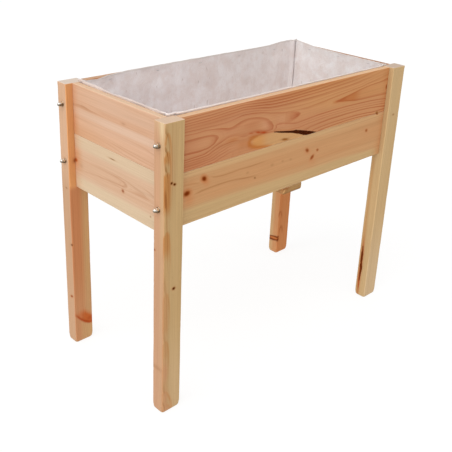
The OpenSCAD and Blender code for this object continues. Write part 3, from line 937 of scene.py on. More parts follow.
mat_fu = wood(
    "pine_heartwood", "x", srgb(198, 141, 100), srgb(169, 88, 54), srgb(191, 131, 91), contrast=0.66, seed=1.0,
    masks=[("m_warm", srgb(200, 146, 97), 0.85), ("m_pink", srgb(204, 148, 112), 0.7), ("m_orange", srgb(184, 108, 54), 0.80),
           ("m_red", srgb(172, 88, 54), 0.75), ("m_sap", srgb(200, 152, 104), 1.0), ("m_gold", srgb(204, 144, 84), 0.9), ("m_halo", srgb(182, 104, 44), 0.85)],
    knots=[dict(c=(430 - 475, -210, 667), r=(15.5, 3.9), rot=-10, style="fleck", ragged=0.3),
           dict(c=(885 - 475, -210, 740), r=(4, 8), style="red", third=14),
           dict(c=(851 - 475, -210, 663), r=(7.5, 4.6), rot=-20, style="fleck", third=16),
           dict(c=(341 - 475, -210, 705.0), r=(18, 3.6), rot=-10, style="blush", a=1.0, third=14),
           dict(c=(322 - 475, -210, 709.5), r=(11, 2.6), rot=-14, style="blush", a=0.9, third=10),
           dict(c=(296 - 475, -210, 712), r=(9, 2.2), rot=-10, style="blush", a=0.5, third=10)],
    bark=True, wobble=0.10, fine=0.22, gain=(1.015, 1.02, 1.0))

xs = spaced(-415.0, 415.0, lambda s: 1.6 if -95 < s < 110 else (3.0 if -150 < s < 130 else 5.0))
co, faces = board("x", -210.0, -190.0, 660.0, 800.0, 415.0, True, step_face=lambda z: 1.3 if z < 704 else 3.4, stations=list(xs))
plank("front_board_upper_v", co, faces, (-415, -210, 660), (415, -190, 800), fu_ring, mat_fu, ("front_board_upper",), 3,
      line=fu_line, masks=fu_masks(), carve=fu_carve, soft=fu_soft, bark=lambda c: pocket_depth(fu_X(c), c[:, 2], 1.3) * ((c[:, 1] < -209.0) | ((c[:, 1] < -206.0) & (c[:, 2] < 662.5))))


# ---- front board, lower

FL_LINES = [
    (5, [(58, 655), (300, 656), (600, 658), (893, 662)]),
    (4, [(58, 643), (200, 641), (400, 644), (600, 648), (893, 652)]),
    (3, [(58, 625), (75, 625), (95, 624), (122, 620), (134, 616)]),
    (3, [(149, 632), (160, 627), (175, 622), (200, 620), (260, 621), (330, 622), (420, 624), (520, 629), (620, 630), (750, 634), (893, 636)]),
    (2, [(58, 589), (105, 592), (150, 596.5), (180, 598), (225, 598), (260, 595), (290, 590.5), (350, 585), (420, 582), (500, 578), (640, 581), (893, 577)]),
    (2.5, [(137, 609), (300, 606), (600, 606), (860, 608)]),
    (1, [(58, 566), (200, 569), (350, 566), (500, 560), (700, 557), (893, 552)]),
    (0, [(58, 546), (300, 548), (600, 542), (893, 534)]),
    (-1, [(58, 530), (300, 531), (600, 528), (893, 522)]),
]
fl_map = RingMap(FL_LINES)


def fl_ring(co):
    dep = co[:, 1] + 210.0
    return fl_map(co[:, 0] + 475.0, co[:, 2]) + dep / 9.0


def fl_line(co):
    X, Z = co[:, 0] + 475.0, co[:, 2]
    return 0.20 + 0.25 * sstep(Z, 535, 522) + 0.15 * sstep(X, 640, 800)


VEINS = [
    [(58, 625.5), (80, 625.5), (100, 624), (122, 620.5), (131, 616)],
    [(150, 631), (162, 627), (178, 622.5), (200, 620.5), (235, 620.5), (262, 622), (300, 620.5), (335, 621), (375, 623)],
    [(100, 591), (112, 594.5), (130, 597), (158, 598.5), (190, 599), (225, 598.5), (255, 596), (285, 592), (318, 588.5), (350, 585)],
]


def fl_vein(co):
    X, Z = co[:, 0] + 475.0, co[:, 2]
    a = np.zeros(len(co))
    for i, (line, w, g) in enumerate(zip(VEINS, (1.9, 1.9, 2.1), (0.55, 0.75, 0.85))):
        d, at = line_dist(X, Z, line)
        a = np.maximum(a, g * np.exp(-(d / w) ** 2) * sstep(at, -0.02, 0.12) * sstep(at, 1.02, 0.72) * (0.7 + 0.5 * n1(X, 81 + i, 40.0)))
    return np.clip(a * (co[:, 1] < -209.0), 0, 1)


mat_fl = wood(
    "pine_side", "x", srgb(200, 152, 106), srgb(170, 116, 72), srgb(196, 148, 102), contrast=0.7, seed=2.0, alt_amount=0.5,
    masks=[("m_pale", srgb(202, 162, 116), 0.9), ("m_olive", srgb(196, 163, 116), 0.9), ("m_orange", srgb(198, 130, 82), 0.75),
           ("m_vein", srgb(160, 104, 60), 0.75)],
    knots=[dict(c=(138.5 - 475, -210, 627.5), r=(9.6, 7.2), rot=-35, style="dark", ragged=0.45),
           dict(c=(83 - 475, -210, 603), r=(11.5, 8.0), style="dark", ragged=0.4),
           dict(c=(528 - 475, -210, 613), r=(9.5, 6), rot=-35, style="red", third=15),
           dict(c=(574 - 475, -210, 604), r=(5.5, 4.2), rot=-20, style="red", a=0.85, third=12),
           dict(c=(553 - 475, -210, 587), r=(9.5, 6.0), rot=40, style="red", third=15),
           dict(c=(806 - 475, -210, 615), r=(6.5, 5.0), rot=-20, style="red", a=0.85, third=12),
           dict(c=(853 - 475, -210, 659.5), r=(6, 3.2), rot=-20, style="red", a=0.9, third=12),
           dict(c=(320 - 475, -210, 583), r=(5, 3.2), rot=-20, style="brown", a=0.9, third=10),
           dict(c=(291 - 475, -210, 605), r=(6, 4), style="smudge", third=10),
           dict(c=(385 - 475, -210, 604), r=(7, 5), style="smudge", third=10),
           dict(c=(427 - 475, -210, 605), r=(5, 3.5), style="smudge", third=10),
           dict(c=(460 - 475, -210, 602), r=(6, 4), rot=-20, style="smudge", third=10)],
    wobble=0.10, fine=0.25, gain=(1.02, 1.035, 1.06))


def fl_masks():
    def pale(co):
        Z, X = co[:, 2], co[:, 0] + 475.0
        a = sstep(Z, 638 + 8 * (n1(X, 5, 90.0) - 0.5), 651)
        return np.clip(a * (1 - 0.55 * sstep(X, 560, 850)), 0, 1)

    def olive(co):
        Z, X = co[:, 2], co[:, 0] + 475.0
        top = np.interp(X, [60, 200, 500, 700, 890], [562, 561, 553, 550, 542])
        return sstep(Z, top + 9, top - 8) * (1 - 0.6 * sstep(X, 835, 885)) + 0.30 * blob(X, Z, 330, 650, 60, 8) * sstep(Z, 640, 648)

    def orange(co):
        Z, X = co[:, 2], co[:, 0] + 475.0
        a = 0.50 * sstep(X, 850, 888) * (0.5 + 0.5 * sstep(Z, 655, 640))
        a = np.maximum(a, 0.85 * blob(X, Z, 90, 584, 18, 14))
        a = np.maximum(a, 0.80 * blob(X, Z, 147, 615, 14, 12, -30))
        a = np.maximum(a, 0.35 * blob(X, Z, 92, 626, 26, 9))
        a = np.maximum(a, 0.50 * blob(X, Z, 556, 575, 22, 14))
        a = np.maximum(a, 0.45 * blob(X, Z, 532, 606, 26, 12))
        a = np.maximum(a, 0.45 * sstep(X, 112, 70) * sstep(abs(Z - 603), 30, 8))
        a = np.maximum(a, 0.30 * sstep(Z, 566, 578) * sstep(Z, 596, 582) * sstep(X, 60, 200) * sstep(X, 900, 700))
        a = np.maximum(a, 0.24 * sstep(Z, 565, 590) * sstep(Z, 640, 615) * (0.5 + n1(X, 83, 120.0)))
        return np.clip(a, 0, 1)

    return {"m_pale": pale, "m_olive": olive, "m_orange": orange, "m_vein": fl_vein}


def fl_carve(co):
    X, Z = co[:, 0] + 475.0, co[:, 2]
    on = co[:, 1] < -209.5
    return on * (0.35 * blob(X, Z, 137, 627, 7, 6.5) + 0.4 * blob(X, Z, 80, 603, 9, 7) + 0.2 * blob(X, Z, 553, 587, 7, 5))


xs = spaced(-415.0, 415.0, lambda s: 3.4 if s < -300 or 30 < s < 115 else 5.0)
co, faces = board("x", -210.0, -190.0, 520.0, 660.0, 415.0, False, step_face=lambda z: 1.5 if 580 < z < 632 else 3.4, stations=list(xs))
plank("front_board_lower_v", co, faces, (-415, -210, 520), (415, -190, 666), fl_ring, mat_fl, ("front_board_lower",), 7,
      line=fl_line, masks=fl_masks(), carve=fl_carve)


# ---- left end boards (Y from the leg's front face)

EU_LINES = [
    (6, [(38, 791), (100, 793.5), (200, 796), (300, 797.5), (412, 799)]),
    (5, [(38, 775), (120, 776), (250, 779), (412, 783)]),
    (4, [(38, 758), (100, 757), (150, 756), (200, 753), (260, 755), (330, 760), (412, 763)]),
    (3, [(38, 741), (100, 741), (200, 741), (260, 742), (300, 745), (330, 746), (360, 750), (385, 749), (412, 747)]),
    (2, [(38, 699), (70, 704), (90, 709), (130, 711), (200, 713), (300, 716), (412, 722)]),
    (1, [(38, 688), (75, 693), (120, 697), (200, 702), (300, 708), (412, 712)]),
    (0, [(38, 678), (90, 680), (120, 681), (200, 685), (300, 694), (412, 700)]),
    (-1, [(38, 670), (100, 672), (150, 676), (200, 680), (240, 684), (320, 689), (412, 691)]),
    (-2, [(38, 663), (120, 664), (180, 668), (240, 675), (320, 682), (412, 682)]),
    (-3, [(170, 660), (220, 664), (280, 670), (350, 673), (412, 672)]),
]
eu_map = RingMap(EU_LINES)


def eu_ring(co):
    return eu_map(co[:, 1] + 225.0, co[:, 2]) + (co[:, 0] + 454.0) / 7.0


def eu_line(co):
    Y, Z = co[:, 1] + 225.0, co[:, 2]
    k = np.full(len(co), 0.10)
    k += 0.85 * blob(Y, Z, 345, 747, 55, 7)
    k += 0.42 * blob(Y, Z, 100, 707, 45, 8)
    k += 0.34 * sstep(Z, 700, 680) * sstep(Y, 300, 190)
    k += 0.40 * sstep(Z, 788, 794)
    return k


def e_masks(upper):
    def band(co):
        Y, Z = co[:, 1] + 225.0, co[:, 2]
        if upper:
            return sstep(Z, 736, 743) * sstep(Z, 758, 751) * sstep(Y, 40, 110) * sstep(Y, 330, 260)
        a = 0.9 * blob(Y, Z, 105, 578, 60, 5) + 0.42 * poly_mask(Y, Z, [(173, 585), (192, 593), (230, 597), (410, 597), (410, 556), (300, 570), (195, 577)], 4.0)
        a = np.maximum(a, 0.40 * sstep(Z, 574, 556) * sstep(Z, 546, 554))
        return np.clip(a, 0, 1)

    def red(co):
        Y, Z = co[:, 1] + 225.0, co[:, 2]
        if upper:
            return np.clip(0.50 * sstep(Z, 706, 676) * (0.4 + 0.6 * sstep(Y, 120, 320)) + 0.25 * blob(Y, Z, 130, 790, 120, 8) + 0.28 * sstep(Y, 230, 390), 0, 1)
        return np.clip(0.42 * sstep(Z, 628, 606) * sstep(Z, 548, 560), 0, 1)

    def edge_(co):
        Y, Z = co[:, 1] + 225.0, co[:, 2]
        if upper:
            return np.clip(sstep(Y, 376, 408) * (0.30 + 0.40 * sstep(Z, 735, 690)), 0, 1)
        w = sstep(Y, 366, 402)
        return np.clip(w * (0.30 + 0.70 * sstep(abs(Z - 592), 40, 14)), 0, 1)

    def pale(co):
        Y, Z = co[:, 1] + 225.0, co[:, 2]
        if upper:
            return np.clip(0.85 * sstep(Z, 713, 722) * sstep(Z, 741, 735) + 0.25 * sstep(Z, 758, 764) + 0.45 * blob(Y, Z, 200, 667, 50, 5), 0, 1)
        return np.clip(sstep(Z, 546, 534) + 0.85 * sstep(Z, 618, 632) * (1 - 0.4 * sstep(Y, 380, 405)), 0, 1)

    out = {"m_band": band, "m_red": red, "m_pale": pale, "m_edge": edge_}
    if not upper:
        def oval(co):
            Y, Z = co[:, 1] + 225.0, co[:, 2]
            d, at = line_dist(Y, Z, [(412, 557), (390, 559), (345, 565.5), (300, 570), (240, 575), (195, 577), (178, 580), (173, 585), (178, 590), (192, 594), (230, 597), (300, 598), (380, 597), (412, 596)])
            return 0.9 * np.exp(-(d / 1.9) ** 2) * (0.45 + 0.55 * sstep(np.abs(at - 0.53), 0.42, 0.12)) * (0.7 + 0.5 * n1(Y, 95, 36.0)) * (co[:, 0] < -453.0)
        out["m_oval"] = oval
    return out


mat_eu = wood(
    "pine_end_upper", "y", srgb(224, 181, 150), srgb(192, 138, 98), srgb(222, 176, 144), contrast=0.8, seed=3.0, alt_amount=0.5, face="x",
    masks=[("m_band", srgb(214, 166, 132), 0.7), ("m_pale", srgb(226, 192, 166), 0.9), ("m_red", srgb(216, 162, 120), 0.85), ("m_edge", srgb(214, 146, 94), 0.9)],
    knots=[dict(c=(-454, 186 - 225, 746.5), r=(9, 3.2), style="smudge", a=0.9, third=10)], wobble=0.10, fine=0.25, gain=(0.92, 0.93, 0.95))
co, faces = board("y", -454.0, -434.0, 660.0, 800.0, 185.0, True, step_face=lambda z: 3.6)
plank("left_end_board_upper_v", co, faces, (-454, -185, 660), (-434, 185, 800), eu_ring, mat_eu, ("left_end_board_upper",), 11,
      line=eu_line, masks=e_masks(True))

EL_LINES = [
    (0, [(414, 556), (390, 558), (345, 565), (300, 570), (240, 575), (195, 577), (178, 580), (173, 585), (178, 590), (192, 594), (230, 597), (300, 598), (380, 597), (414, 596)]),
    (-0.8, [(280, 585), (390, 579)]),
    (1, [(414, 612), (380, 609), (300, 605), (230, 602), (160, 597.5), (110, 590), (80, 581), (66, 578), (80, 576), (120, 575), (165, 573), (240, 568), (300, 562), (414, 545)]),
    (2, [(38, 590), (100, 604), (200, 613), (414, 623)]),
    (3, [(38, 610), (150, 624), (414, 637)]),
    (4, [(38, 630), (150, 640), (414, 650)]),
    (5, [(38, 648), (414, 662)]),
    (2, [(38, 566), (120, 563), (240, 555), (414, 530)]),
    (3, [(38, 553), (200, 545), (414, 517)]),
    (4, [(38, 538), (250, 528), (414, 505)]),
    (5, [(38, 522), (200, 514), (300, 508)]),
]
el_map = RingMap(EL_LINES)


def el_ring(co):
    return el_map(co[:, 1] + 225.0, co[:, 2]) + (co[:, 0] + 454.0) / 8.0


def el_line(co):
    Y, Z = co[:, 1] + 225.0, co[:, 2]
    k = np.full(len(co), 0.05)
    k += 0.75 * blob(Y, Z, 195, 586, 42, 14)
    k += 0.55 * sstep(abs(Z - 584), 24, 13)
    k += 0.35 * blob(Y, Z, 110, 577, 50, 5)
    return k


def el_carve(co):
    Y, Z = co[:, 1] + 225.0, co[:, 2]
    return (co[:, 0] < -453.5) * (0.8 * blob(Y, Z, 236, 638.6, 16, 1.6) + 0.25 * blob(Y, Z, 192, 565, 5, 4.5))


mat_el = wood(
    "pine_end_lower", "y", srgb(223, 187, 155), srgb(190, 138, 100), srgb(222, 184, 152), contrast=0.8, seed=4.0, alt_amount=0.5, face="x",
    masks=[("m_band", srgb(214, 168, 132), 0.75), ("m_pale", srgb(222, 196, 162), 0.9), ("m_red", srgb(220, 174, 140), 0.8), ("m_edge", srgb(218, 158, 112), 0.85), ("m_oval", srgb(190, 134, 94), 0.6)],
    knots=[dict(c=(-454, 236 - 225, 638.6), r=(16, 1.9), style="brown", ragged=0.3, a=0.9, third=10),
           dict(c=(-454, 191 - 225, 566), r=(5.0, 4.4), style="red", a=0.85, third=12),
           dict(c=(-454, 78 - 225, 536), r=(3, 2.8), style="brown", a=0.7, third=10),
           dict(c=(-454, 407 - 225, 585), r=(9, 6), style="ember", third=14),
           dict(c=(-454, 380 - 225, 576), r=(9, 8), style="smudge", a=0.5, third=10)], wobble=0.10, fine=0.25, gain=(0.91, 0.925, 0.955))
ys = spaced(-185.0, 185.0, lambda s: 4.0)
co, faces = board("y", -454.0, -434.0, 504.0, 660.0, 185.0, False, step_face=lambda z: 1.2 if 633 < z < 644 else 3.6, stations=list(ys))
plank("left_end_board_lower_v", co, faces, (-454, -185, 504), (-434, 185, 666), el_ring, mat_el, ("left_end_board_lower",), 13,
      line=el_line, masks=e_masks(False), carve=el_carve)


# ---- boards that the photographed side hides: plain sawn from their own logs

def log_board(name, node, axis, outer, inner, z0, z1, half, upper, mat, seed, pith, tilt, gap=7.5, knots=(), line=0.75):
    co_, faces_ = board(axis, outer, inner, z0, z1, half, upper)
    lo_a, hi_a = min(outer, inner), max(outer, inner)
    if axis == "x":
        lo, hi = (-half, lo_a, z0), (half, hi_a, z1 + (0 if upper else 6))
        u, w = 0, 1
    else:
        lo, hi = (lo_a, -half, z0), (hi_a, half, z1 + (0 if upper else 6))
        u, w = 1, 0

    def ring(c):
        return log_rings(c[:, u], c[:, 2] - (z0 + z1) / 2, np.abs(c[:, w] - outer), seed, pith, tilt, gap, knots=knots)

    plank(name, co_, faces_, lo, hi, ring, mat, (node,), seed, line=lambda c: np.full(len(c), line))


def knot_list(axis, outer, zc, knots, styles):
    out = []
    for (u, v, r), st in zip(knots, styles):
        c = (u, outer, zc + v) if axis == "x" else (outer, u, zc + v)
        out.append(dict(c=c, r=(r * 1.15, r), style=st, third=60.0))
    return out


k = [(-262, 22, 9), (118, -30, 7), (301, 35, 5)]
m = wood("pine_back_upper", "x", srgb(204, 140, 98), srgb(164, 98, 60), srgb(196, 128, 84), contrast=0.85, seed=5.0, top=srgb(198, 164, 136), top_light_shade_amount=0.85,
         knots=knot_list("x", 210, 730, k, ["dark", "red", "brown"]), fine=0.25)
log_board("back_board_upper_v", "back_board_upper", "x", 210.0, 190.0, 660.0, 800.0, 415.0, True, m, 21, (12.0, 46.0), (0.05, 0.045), 7.0, k)
k = [(-120, -18, 8), (205, 30, 6), (330, -35, 10)]
m = wood("pine_back_lower", "x", srgb(208, 160, 114), srgb(172, 116, 72), srgb(202, 150, 102), contrast=0.7, seed=6.0,
         knots=knot_list("x", 210, 590, k, ["red", "brown", "dark"]), fine=0.25)
log_board("back_board_lower_v", "back_board_lower", "x", 210.0, 190.0, 520.0, 660.0, 415.0, False, m, 22, (-25.0, 60.0), (-0.06, 0.03), 8.0, k, 0.7)
k = [(-75, 26, 6), (98, -28, 8)]
# painted shade: this board's darker top colour stands for the shade under the felt edge on its top face
m = wood("pine_right_upper", "y", srgb(214, 164, 126), srgb(178, 120, 80), srgb(208, 154, 112), contrast=0.7, seed=7.0, face="x", top=srgb(170, 132, 110), top_light_shade_amount=0.9,
         knots=knot_list("y", 454, 730, k, ["brown", "red"]), fine=0.3)
log_board("right_end_board_upper_v", "right_end_board_upper", "y", 454.0, 434.0, 660.0, 800.0, 185.0, True, m, 23, (-18.0, 50.0), (0.09, -0.05), 7.5, k, 0.7)
k = [(40, 12, 7), (-130, -40, 5)]
m = wood("pine_right_lower", "y", srgb(216, 176, 132), srgb(180, 128, 84), srgb(212, 168, 122), contrast=0.7, seed=8.0, face="x",
         knots=knot_list("y", 454, 582, k, ["red", "brown"]), fine=0.3)
log_board("right_end_board_lower_v", "right_end_board_lower", "y", 454.0, 434.0, 504.0, 660.0, 185.0, False, m, 24, (20.0, 55.0), (-0.08, 0.06), 8.0, k, 0.6)


# --------------------------------------------------------------------------
# legs
# --------------------------------------------------------------------------

def leg_mesh(x0, y0, dense=None):
    """60 x 40 x 808 mm leg with its lower outer corner at x0, y0. The foot is well rounded."""
    lo, hi = np.array([x0, y0, -DZ]), np.array([x0 + 60.0, y0 + 40.0, 800.0])
    rr = (1.4, 2.8, 4.4, 6.6, 9.4)
    gx = band(lo[0], hi[0], rr, (lambda s: 4.2) if dense is None or len(dense) < 3 else dense[2])
    gy = band(lo[1], hi[1], rr, (lambda s: 4.2) if dense is None else dense[0])
    gz = band(lo[2], hi[2], rr, (lambda s: 6.0) if dense is None else dense[1])
    co_, faces_ = lattice(gx, gy, gz)

    def radius(c):
        z = c[:, 2]
        r = 2.9 + 0.6 * (n1(z, int(abs(x0)) + 3, 120.0) - 0.5)
        r = r + (9.2 - r) * sstep(z, 14.0, -6.0)
        return r + (1.6 - r) * sstep(z, 788.0, 798.0)

    co_, _ = round_box(co_, lo, hi, radius)
    return co_, faces_, lo, hi


def leg(name, node, x0, y0, ring, mat, seed, line=None, masks=None, carve=None, bark=None, dense=None):
    co_, faces_, lo, hi = leg_mesh(x0, y0, dense)
    return plank(name, co_, faces_, lo, hi, ring, mat, (node,), seed, line=line, masks=masks, carve=carve, bark=bark, wave=0.14)


def tip(z, xs_, zs_):
    return [(x, z + dz) for x, dz in zip(xs_, zs_)]


# front left: cathedral tips run up the left edge of the front face
FLL = []
for i_, (zt, far) in enumerate([(772, 21), (731, 19.3), (682, 17.8), (526, 16.2), (356, 14.6), (216, 13.2), (61, 24)]):
    FLL.append((i_, [(-6, zt + 4), (0, zt + 2), (5, zt - 2), (9, zt - 14), (0.58 * far + 1, zt - 42), (0.76 * far, zt - 90)]))
    if zt > 300:
        FLL.append((i_, [(0.76 * far, zt - 90), (0.88 * far, zt - 170), (far, zt - 260)]))
        for zz in range(int(zt) - 340, 0, -90):
            FLL.append((i_, [(far + 0.004 * (zt - 260 - zz) * 0, zz)]))
for lv, x in ((-1, 23.5), (-2, 27.5), (-3, 32), (-4, 37), (-5.2, 43), (-6.6, 50), (-8, 58)):
    FLL.append((lv, [(x + 1.2 * math.sin(z / 160.0 + lv), z) for z in range(800, -1, -80)]))
fll_map = RingMap(FLL, su=1.0, sv=9.0, gap=12.0, smooth=0.05)


def fll_ring(c):
    return fll_map(c[:, 0] + 475.0, c[:, 2]) + (c[:, 1] + 225.0) / 8.0


def fll_line(c):
    x, z = c[:, 0] + 475.0, c[:, 2]
    side = sstep(c[:, 0], -474.6, -473.4)
    k = 0.16 + 0.50 * sstep(x, 24, 17) + 0.42 * sstep(x, 40, 34) * sstep(z, 560, 640)
    return k * side + 0.16 * (1 - side)


def leg_masks(x0, y0, amber, face_shift=None):
    def m_amber(c):
        return np.clip(amber(c[:, 0] - x0, c[:, 1] - y0, c[:, 2]), 0, 1)

    out = {"m_amber": m_amber}
    if face_shift:
        out["m_side"] = lambda c: np.clip(face_shift(c[:, 0] - x0, c[:, 1] - y0, c[:, 2]), 0, 1)
    return out


def fll_amber(x, y, z):
    f = sstep(y, 4.5, 1.5)
    x = x - 1.5 * sstep(z, 120, 200)
    wob = 2.2 * (n1(z, 57, 60.0) - 0.5)
    a = 0.95 * sstep(x + wob, 21, 13) * sstep(z + 0.05 * (x - 7) ** 2, 686, 672) * sstep(z, 555, 600)
    a = np.maximum(a, 0.85 * sstep(x + wob, 20, 13) * sstep(z + 0.09 * (x - 8) ** 2, 532, 520) * sstep(z, 432, 488))
    a = np.maximum(a, 0.52 * sstep(x + wob, 18, 10) * sstep(z + 0.14 * (x - 6) ** 2, 362, 350) * sstep(z, 225, 262))
    a = np.maximum(a, 0.46 * sstep(x + wob, 19, 10) * sstep(z + 0.14 * (x - 6) ** 2, 224, 212) * sstep(z, 150, 180))
    a = np.maximum(a, 0.85 * sstep(x, 17, 12) * sstep(z + 0.12 * (x - 8) ** 2, 734, 726) * sstep(z, 690, 712))
    for zt, w_, wide in ((773, 0.85, 2.6), (729, 0.9, 3.0), (678, 0.7, 2.6), (526, 0.75, 2.8), (356, 0.6, 2.8), (216, 0.65, 2.8)):
        d, at = line_dist(x, z, [(1.5, zt - 22), (3.0, zt - 8), (5.5, zt - 1), (8.5, zt + 1), (12, zt - 4), (15, zt - 16), (17.5, zt - 36), (19.5, zt - 72), (20.5, zt - 135)])
        a = np.maximum(a, w_ * np.exp(-(d / (wide * (1.2 - 0.6 * at))) ** 2) * sstep(at, 1.0, 0.3))
    for pts, w_ in (([(1, 52), (6, 61), (14, 55), (22, 41), (28, 22), (31, -6)], 0.85), ([(2, 3), (5, 13), (11, 17), (18, 14), (23, 6), (26, -4)], 0.75)):
        d, at = line_dist(x, z, pts)
        a = np.maximum(a, w_ * np.exp(-(d / 2.8) ** 2))
    a = np.maximum(a, 0.20 * sstep(x, 16, 4))
    return a * f


def fll_peach(x, y, z):
    f = sstep(y, 4.5, 1.5)
    a = 0.9 * blob(x, z, 8, 122, 10, 30) + 0.7 * blob(x, z, 10, 42, 13, 26) + 0.9 * blob(x, z, 14, 2, 17, 15) + 0.25 * blob(x, z, 24, 690, 8, 60)
    a = a + 0.35 * sstep(x, 22, 8) * sstep(z, 420, 340)
    return np.clip(a, 0, 1) * f


mat_fll = wood(
    "pine_leg_front_left", "z", srgb(203, 166, 117), srgb(160, 112, 64), srgb(200, 160, 108), contrast=0.85, seed=9.0, alt_amount=0.5, top=srgb(231, 199, 174), top_light_shade_amount=0.9, gain=(0.915, 0.955, 0.98),
    masks=[("m_side", srgb(212, 170, 128), 1.0), ("m_side2", srgb(211, 161, 125), 1.0), ("m_cream", srgb(230, 198, 156), 0.8), ("m_foot", srgb(214, 178, 136), 0.5), ("m_shade", srgb(202, 154, 121), 0.5), ("m_amber", srgb(192, 124, 62), 0.85), ("m_peach", srgb(206, 150, 108), 0.9)],
    knots=[dict(c=(-453, -225, 651), r=(4.0, 3.4), style="pin", third=5), dict(c=(-444, -225, 646), r=(4.8, 3.4), style="pin", third=5, rot=-15),
           dict(c=(-442, -225, 365), r=(5.0, 4.2), style="pin", third=5),
           dict(c=(-475, -190, 470), r=(3.0, 2.8), style="red", third=4, face="x"),
           dict(c=(-475, -200, 130), r=(26, 7), style="smudge", third=6, face="x")], wobble=0.10, fine=0.22)
mk = leg_masks(-475.0, -225.0, fll_amber, lambda x, y, z: sstep(x, 2.6, 0.6))
mk["m_side2"] = lambda c: sstep(c[:, 0], -472.4, -474.4) * (1 - (1 - 0.4 * sstep(c[:, 2], 320, 180)) * sstep(c[:, 1] + 225.0 + 4 * (n1(c[:, 2], 91, 120.0) - 0.5), 20, 9))
mk["m_foot"] = lambda c: sstep(c[:, 2], 330, 90) * sstep(c[:, 1], -221.5, -223.5) * sstep(c[:, 0], -458, -448)
mk["m_shade"] = lambda c: sstep(c[:, 2], 570, 440) * sstep(c[:, 0], -472.4, -474.4)
mk["m_cream"] = lambda c: sstep(c[:, 0], -472.4, -474.4) * (sstep(c[:, 2], 730, 785) * blob(c[:, 1] + 225.0, 0 * c[:, 1], 11, 0, 9, 1) + 0.35 * sstep(c[:, 2], 760, 800))
mk["m_peach"] = lambda c: fll_peach(c[:, 0] + 475.0, c[:, 1] + 225.0, c[:, 2])
leg("leg_front_left_v", "leg_front_left", -475.0, -225.0, fll_ring, mat_fll, 31, line=fll_line, masks=mk,
    dense=(lambda s: 3.6, lambda s: 4.0, lambda s: 2.4 if s < -450 else 4.0))


# front right: plain face, bark streak up the inner part of its left side
def frl_ring(c):
    x, y, z = c[:, 0] - 415.0, c[:, 1] + 225.0, c[:, 2]
    return x / 8.5 + y / 6.5 + 1.4 * (n1(z, 51, 260.0) - 0.5) + 0.5 * (n1(z, 52, 90.0) - 0.5) + 0.35 * np.exp(-((y - 25) / 9.0) ** 2)


STREAK = [(28.5, 52, 0.5), (27.5, 70, 2.2), (27.0, 84, 4.4), (26.6, 98, 6.0), (27.0, 112, 6.2), (28.0, 124, 3.6), (28.2, 138, 4.6), (28.0, 152, 4.8), (28.6, 166, 2.2), (29.5, 182, 0.5)]


def streak(y, z, grow=0.0):
    d, at = line_dist(y, z, [(a, b) for a, b, _ in STREAK])
    line_ = np.array([(a, b) for a, b, _ in STREAK], float)
    seg = np.linalg.norm(np.diff(line_, axis=0), axis=1)
    half = np.interp(at, np.concatenate([[0], np.cumsum(seg)]) / seg.sum(), [w_ / 2 for _, _, w_ in STREAK])
    rag = (fbm(np.stack([y / 2.0, z / 9.0, np.zeros_like(y)], -1), 77, 2) - 0.5) * 1.6
    return sstep(half + grow + rag * np.clip(half / 1.5, 0, 1) - d, -0.6, 0.8)


def frl_streak(c):
    return streak(c[:, 1] + 225.0, c[:, 2]) * (c[:, 0] < 415.6)


def frl_amber(x, y, z):
    side = sstep(x, 3.0, 0.5)
    wd = np.interp(z, [0, 150, 350], [8.5, 7.5, 5.0])
    return side * (0.62 + 0.25 * sstep(z, 330, 180)) * np.exp(-((y - 30 - 1.5 * (n1(z, 55, 140.0) - 0.5)) / wd) ** 2) * sstep(z, 520, 480)


def frl_halo(x, y, z):
    yc = np.interp(z, [10, 60, 100, 150, 200], [27.5, 29.5, 28.5, 28.0, 29.0])
    g = np.interp(z, [-8, 10, 28, 60, 90, 165, 195, 230], [0.30, 0.55, 1.0, 1.0, 1.0, 0.9, 0.45, 0.0])
    wd = np.interp(z, [-8, 30, 60, 165, 230], [1.8, 3.2, 5.2, 4.6, 3.0])
    return sstep(x, 3.0, 0.5) * g * np.exp(-((y - yc) / wd) ** 2)


mat_frl = wood(
    "pine_leg_front_right", "z", srgb(208, 176, 130), srgb(174, 132, 86), srgb(204, 168, 120), contrast=0.35, seed=10.0, alt_amount=0.6, top=srgb(207, 188, 175), top_light_shade_amount=0.85, gain=(0.935, 0.935, 0.93),
    masks=[("m_side", srgb(210, 178, 132), 1.0), ("m_foot", srgb(216, 188, 152), 0.55), ("m_amber", srgb(196, 142, 88), 0.85), ("m_halo", srgb(176, 76, 28), 0.95)],
    knots=[dict(c=(445, -225, 648), r=(6.0, 3.4), style="brown", a=0.8, third=5)], bark=True, bark_tone=((84, 30, 4), (112, 46, 10), (146, 76, 30)), wobble=0.12, fine=0.3)
leg("leg_front_right_v", "leg_front_right", 415.0, -225.0, frl_ring, mat_frl, 32,
    line=lambda c: np.full(len(c), 0.8),
    masks=dict(leg_masks(415.0, -225.0, frl_amber, lambda x, y, z: sstep(x, 4.0, 1.0)), m_halo=lambda c: frl_halo(c[:, 0] - 415.0, c[:, 1] + 225.0, c[:, 2]),
               m_foot=lambda c: sstep(c[:, 2], 360, 90) * sstep(c[:, 1], -221.5, -223.5)),
    carve=lambda c: 1.2 * frl_streak(c), bark=lambda c: streak(c[:, 1] + 225.0, c[:, 2], 0.7) * (c[:, 0] < 416.2),
    dense=(lambda s: 1.1 if -206 < s < -190 else 3.6, lambda s: 2.4 if s < 245 else 6.0))


# back left: reddish heart to the left, a large slanting knot near the foot
def bll_ring(c):
    x, y, z = c[:, 0] + 475.0, c[:, 1] - 185.0, c[:, 2]
    zk = 84.0 - 0.62 * x
    dz = z - zk
    bend = 1.6 * np.exp(-(dz / 42.0) ** 2) * np.sign(x - 20) * 0.7
    return x / 7.0 + y / 7.5 + 1.2 * (n1(z, 61, 230.0) - 0.5) + bend + 0.4 * (n1(z, 62, 70.0) - 0.5)


def bll_amber(x, y, z):
    f = sstep(y, 3.0, 0.6)
    return f * (sstep(x, 46, 26) * (0.95 - 0.25 * sstep(z, 300, 60)))


